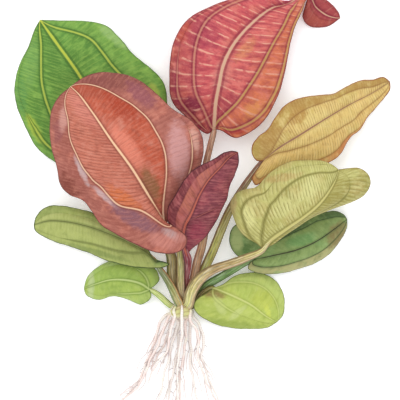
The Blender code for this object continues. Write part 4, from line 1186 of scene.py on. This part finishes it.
def root_route(route):
    """A root's whole route. It rises over the crown from its top as an arc, and then follows its points."""
    centre, half = np.array(CROWN_CENTRE), np.array(CROWN_HALF)
    way = (np.array(route[0]) - centre) / half
    way /= np.linalg.norm(way)
    high = way * (0.55, 0, 0.75) + (0, 0.55, 0)
    high /= np.linalg.norm(high)
    turn = math.acos(high @ way)
    arc = [
        centre + half * 0.97 * (math.sin((1 - t) * turn) * high + math.sin(t * turn) * way) / math.sin(turn)
        for t in (0, 0.25, 0.5, 0.75)
    ]
    return [point.tolist() for point in arc] + route


def make_root(number, route, sizes, finish):
    """A root with its side roots and rootlets. The root is a round tube that thins towards its tip and
    wavers as a sum of sine waves."""
    draws = np.random.default_rng(number)
    at = np.linspace(0, 1, ROOT_STEPS)
    line = smooth_line(root_route(route), at)
    wobble = sizes.root_wobble / MM * np.clip(at * 6, 0, 1)
    line[:, 0] += wobble * waves(at, (2.3, 4.7, 9.1), draws)
    line[:, 1] += wobble * waves(at, (3.1, 7.7), draws) * (1 - at)
    taper = ROOT_RADIUS - (ROOT_RADIUS - ROOT_TIP_RADIUS) * at**1.2
    taper *= (0.55 + 0.45 * np.clip(at / 0.1, 0, 1)) * np.clip((1 - at) * 22, 0.02, 1) ** 0.5
    radius = np.clip(taper * (1 + 0.08 * waves(at, (9.0, 17.0), draws)), LEAST_RADIUS, ROOT_RADIUS * 1.1)
    line[:, 2] = np.maximum(line[:, 2], radius + ROOT_CLEARANCE)
    points, quads, triangles, values, used = [], [], [], {}, 0
    for path, thick, fractions, fineness in root_parts(draws, line, radius, at, sizes):
        angle = ring_angles(len(path), FINE_SIDES if fineness else ROOT_SIDES)
        points.append(tube_points(path, thick[:, None], thick[:, None], angle))
        for made, faces in zip((quads, triangles), tube_faces(*angle.shape)):
            made.append(faces + used)
        used += len(points[-1])
        per_ring = {"along": fractions, "length": run_along(path), "twig": np.full(len(path), fineness)}
        for key, numbers in per_ring.items():
            values.setdefault(key, []).append(tube_values(numbers[:, None], angle.shape, numbers[[0, -1]]))
        values.setdefault("flank", []).append(tube_values(np.abs(np.cos(angle)), angle.shape, (0, 0)))
    values = {key: np.concatenate(numbers) for key, numbers in values.items()}
    values["shade"] = np.full(used, draws.uniform(-1, 1))
    faces = (np.concatenate(quads), np.concatenate(triangles))
    name = f"root_{number:02d}"
    add_piece(f"{name}_fine", np.concatenate(points), faces, values, finish, name)


def make_crown(colours):
    """The short stem: an ellipsoid along the plant, with leaf scars as rings and low knobs."""
    shape = (CROWN_STEPS, CROWN_SIDES)
    turn = ring_angles(*shape)
    at = np.linspace(0, 1, CROWN_STEPS + 2)[1:-1][:, None]
    lean = math.pi * at
    scars = np.clip(np.sin(2 * math.pi * (SCAR_RINGS * at + 0.35 * np.sin(turn * 2))), 0, 1) ** 4
    knobs = 0.05 * np.sin(3 * turn + 9 * at) + 0.03 * np.sin(7 * turn - 5 * at)
    scale = CROWN_FIT - 0.05 * scars + knobs * np.sin(lean)
    half = np.array(CROWN_HALF) - CROWN_INSET
    around, up = np.sin(lean) * np.cos(turn), -np.sin(lean) * np.sin(turn)
    ball = np.stack([around, -np.cos(lean) + 0 * turn, up], -1)
    poles = np.array([(0, -1, 0), (0, 1, 0)]) * CROWN_FIT
    points = np.concatenate([(ball * scale[:, :, None]).reshape(-1, 3), poles]) * half + CROWN_CENTRE
    values = {"scar": tube_values(scars, shape, (0, 0)), "along": tube_values(at, shape, (0, 1))}
    faces = [corners[:, ::-1] for corners in tube_faces(*shape)]
    add_piece("short_stem", points, faces, values, crown_finish(colours), "crown")


def make_stage(colours):
    """A pale floor, two large soft lights above, a pale surround and the camera."""
    floor = bpy.data.meshes.new("floor")
    corners = [(x * FLOOR_REACH, y * FLOOR_REACH, 0) for x, y in ((-1, -1), (1, -1), (1, 1), (-1, 1))]
    floor.from_pydata(corners, [], [(0, 1, 2, 3)])
    finish = Finish("floor", 0.9, 0.0)
    inputs = finish.shader.inputs
    inputs["Base Color"].default_value = (*colours.floor_colour, 1)
    inputs["Emission Color"].default_value = (1, 1, 1, 1)
    inputs["Emission Strength"].default_value = FLOOR_GLOW
    floor.materials.append(finish.material)
    plane = link("floor", floor)

    world = bpy.data.worlds.new("surround")
    world.use_nodes = True
    glow = world.node_tree.nodes["Background"].inputs
    glow["Color"].default_value, glow["Strength"].default_value = SURROUND, SURROUND_STRENGTH
    bpy.context.scene.world = world
    for name, (place, size, power) in LAMPS.items():
        lamp = bpy.data.lights.new(name, "AREA")
        lamp.shape, lamp.size, lamp.energy = "DISK", size, power
        light = link(name, lamp)
        light.location = place
        light.rotation_mode = "QUATERNION"
        light.rotation_quaternion = light.location.to_track_quat("Z", "Y")

    view = bpy.data.cameras.new("view")
    view.lens, view.sensor_width = LENS, SENSOR
    camera = link("view", view)
    height = PICTURE_WIDTH * LENS / SENSOR + PICTURE_HEIGHT_ABOVE_FLOOR
    camera.location = np.array([*PICTURE_MIDDLE, height]) * MM
    bpy.context.scene.camera = camera
    bpy.context.scene.view_settings.view_transform = "Standard"


# The add-on


class PlantSizes(bpy.types.PropertyGroup):
    """The sizes that a user would change"""

    blade_thickness: FloatProperty(
        name="Blade thickness", description="Thickness of the leaf blades", default=0.0006, unit="LENGTH"
    )
    quilt_height: FloatProperty(
        name="Quilt height", description="How far a blade swells between two veins",
        default=0.0009, unit="LENGTH",
    )
    vein_height: FloatProperty(
        name="Vein height", description="How far a vein stands above the blade",
        default=0.0003, unit="LENGTH",
    )
    cross_vein_depth: FloatProperty(
        name="Cross vein depth", description="Depth of the fine cross furrows",
        default=0.00022, unit="LENGTH",
    )
    margin_jitter: FloatProperty(
        name="Margin jitter", description="How far a leaf margin strays from its outline",
        default=0.00025, unit="LENGTH",
    )
    stalk_groove: FloatProperty(
        name="Stalk groove", description="Depth of the stalk grooves as a share of its radius",
        default=0.07,
    )
    sheath_flare: FloatProperty(
        name="Sheath flare", description="How much wider a stalk is where it sheaths the crown",
        default=0.25,
    )
    root_wobble: FloatProperty(
        name="Root wobble", description="How far a root wavers from its route",
        default=0.0005, unit="LENGTH",
    )
    side_root_drift: FloatProperty(
        name="Side root drift", description="How far a side root drifts from its root",
        default=0.006, unit="LENGTH",
    )
    rootlet_length: FloatProperty(
        name="Rootlet length", description="Length of the longest rootlets", default=0.007, unit="LENGTH"
    )


class PlantColours(bpy.types.PropertyGroup):
    """The colours that a user would change"""

    leaf_tint: FloatVectorProperty(
        name="Leaf tint", description="Multiplies the colours of the blades",
        default=(0.84, 0.83, 0.8), subtype="COLOR",
    )
    stalk_tint: FloatVectorProperty(
        name="Stalk tint", description="Multiplies the colours of the stalks",
        default=(1.0, 0.98, 0.92), subtype="COLOR",
    )
    root_colour: FloatVectorProperty(
        name="Root colour", description="Colour of the roots", default=(0.91, 0.85, 0.79), subtype="COLOR"
    )
    crown_colour: FloatVectorProperty(
        name="Crown colour", description="Colour of the short stem",
        default=(0.62, 0.42, 0.28), subtype="COLOR",
    )
    floor_colour: FloatVectorProperty(
        name="Floor colour", description="Colour of the floor", default=(1.0, 1.0, 1.0), subtype="COLOR"
    )


LEAF_ITEMS = [(name, name.capitalize(), f"The {name} leaf") for name in LEAVES]


class PLANT_OT_blade(bpy.types.Operator):
    """Makes one leaf blade in place of its plain solid"""

    bl_idname = "plant.blade"
    bl_label = "Leaf blade"
    leaf: EnumProperty(name="Leaf", description="Which leaf", items=LEAF_ITEMS)

    def execute(self, context):
        make_blade(self.leaf, context.scene.plant_sizes, context.scene.plant_colours)
        return {"FINISHED"}


class PLANT_OT_stalk(bpy.types.Operator):
    """Makes one leaf stalk in place of its plain solid"""

    bl_idname = "plant.stalk"
    bl_label = "Leaf stalk"
    leaf: EnumProperty(name="Leaf", description="Which leaf", items=LEAF_ITEMS)

    def execute(self, context):
        make_stalk(self.leaf, context.scene.plant_sizes, context.scene.plant_colours)
        return {"FINISHED"}


class PLANT_OT_roots(bpy.types.Operator):
    """Makes the roots with their rootlets"""

    bl_idname = "plant.roots"
    bl_label = "Roots"

    def execute(self, context):
        finish = root_finish(context.scene.plant_colours)
        for number, route in enumerate(ROOTS, start=1):
            make_root(number, route, context.scene.plant_sizes, finish)
        return {"FINISHED"}


class PLANT_OT_crown(bpy.types.Operator):
    """Makes the short stem"""

    bl_idname = "plant.crown"
    bl_label = "Crown"

    def execute(self, context):
        make_crown(context.scene.plant_colours)
        return {"FINISHED"}


class PLANT_OT_stage(bpy.types.Operator):
    """Makes the floor, the lights and the camera"""

    bl_idname = "plant.stage"
    bl_label = "Stage"

    def execute(self, context):
        make_stage(context.scene.plant_colours)
        return {"FINISHED"}


class PLANT_PT_panel(bpy.types.Panel):
    """Lists the plant's sizes, colours and pieces"""

    bl_idname = "PLANT_PT_panel"
    bl_label = "Reni Echinodorus"
    bl_space_type = "VIEW_3D"
    bl_region_type = "UI"
    bl_category = "Plant"

    def draw(self, context):
        for group in (context.scene.plant_sizes, context.scene.plant_colours):
            for key in group.bl_rna.properties.keys():
                if key not in ("rna_type", "name"):
                    self.layout.prop(group, key)
        for name in LEAVES:
            self.layout.operator("plant.blade", text=f"{name} blade").leaf = name
            self.layout.operator("plant.stalk", text=f"{name} stalk").leaf = name
        for operator in ("plant.roots", "plant.crown", "plant.stage"):
            self.layout.operator(operator)


CLASSES = (
    PlantSizes, PlantColours, PLANT_OT_blade, PLANT_OT_stalk, PLANT_OT_roots, PLANT_OT_crown, PLANT_OT_stage,
    PLANT_PT_panel,
)


def register():
    """Adds the classes and the plant's properties to Blender."""
    for each in CLASSES:
        bpy.utils.register_class(each)
    bpy.types.Scene.plant_sizes = PointerProperty(type=PlantSizes)
    bpy.types.Scene.plant_colours = PointerProperty(type=PlantColours)


def unregister():
    """Takes them out again."""
    del bpy.types.Scene.plant_colours
    del bpy.types.Scene.plant_sizes
    for each in reversed(CLASSES):
        bpy.utils.unregister_class(each)


def main():
    """Makes the whole scene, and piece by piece."""
    register()
    bpy.ops.plant.stage()
    for name in LEAVES:
        bpy.ops.plant.stalk(leaf=name)
        bpy.ops.plant.blade(leaf=name)
    bpy.ops.plant.crown()
    bpy.ops.plant.roots()


if __name__ == "__main__":
    main()
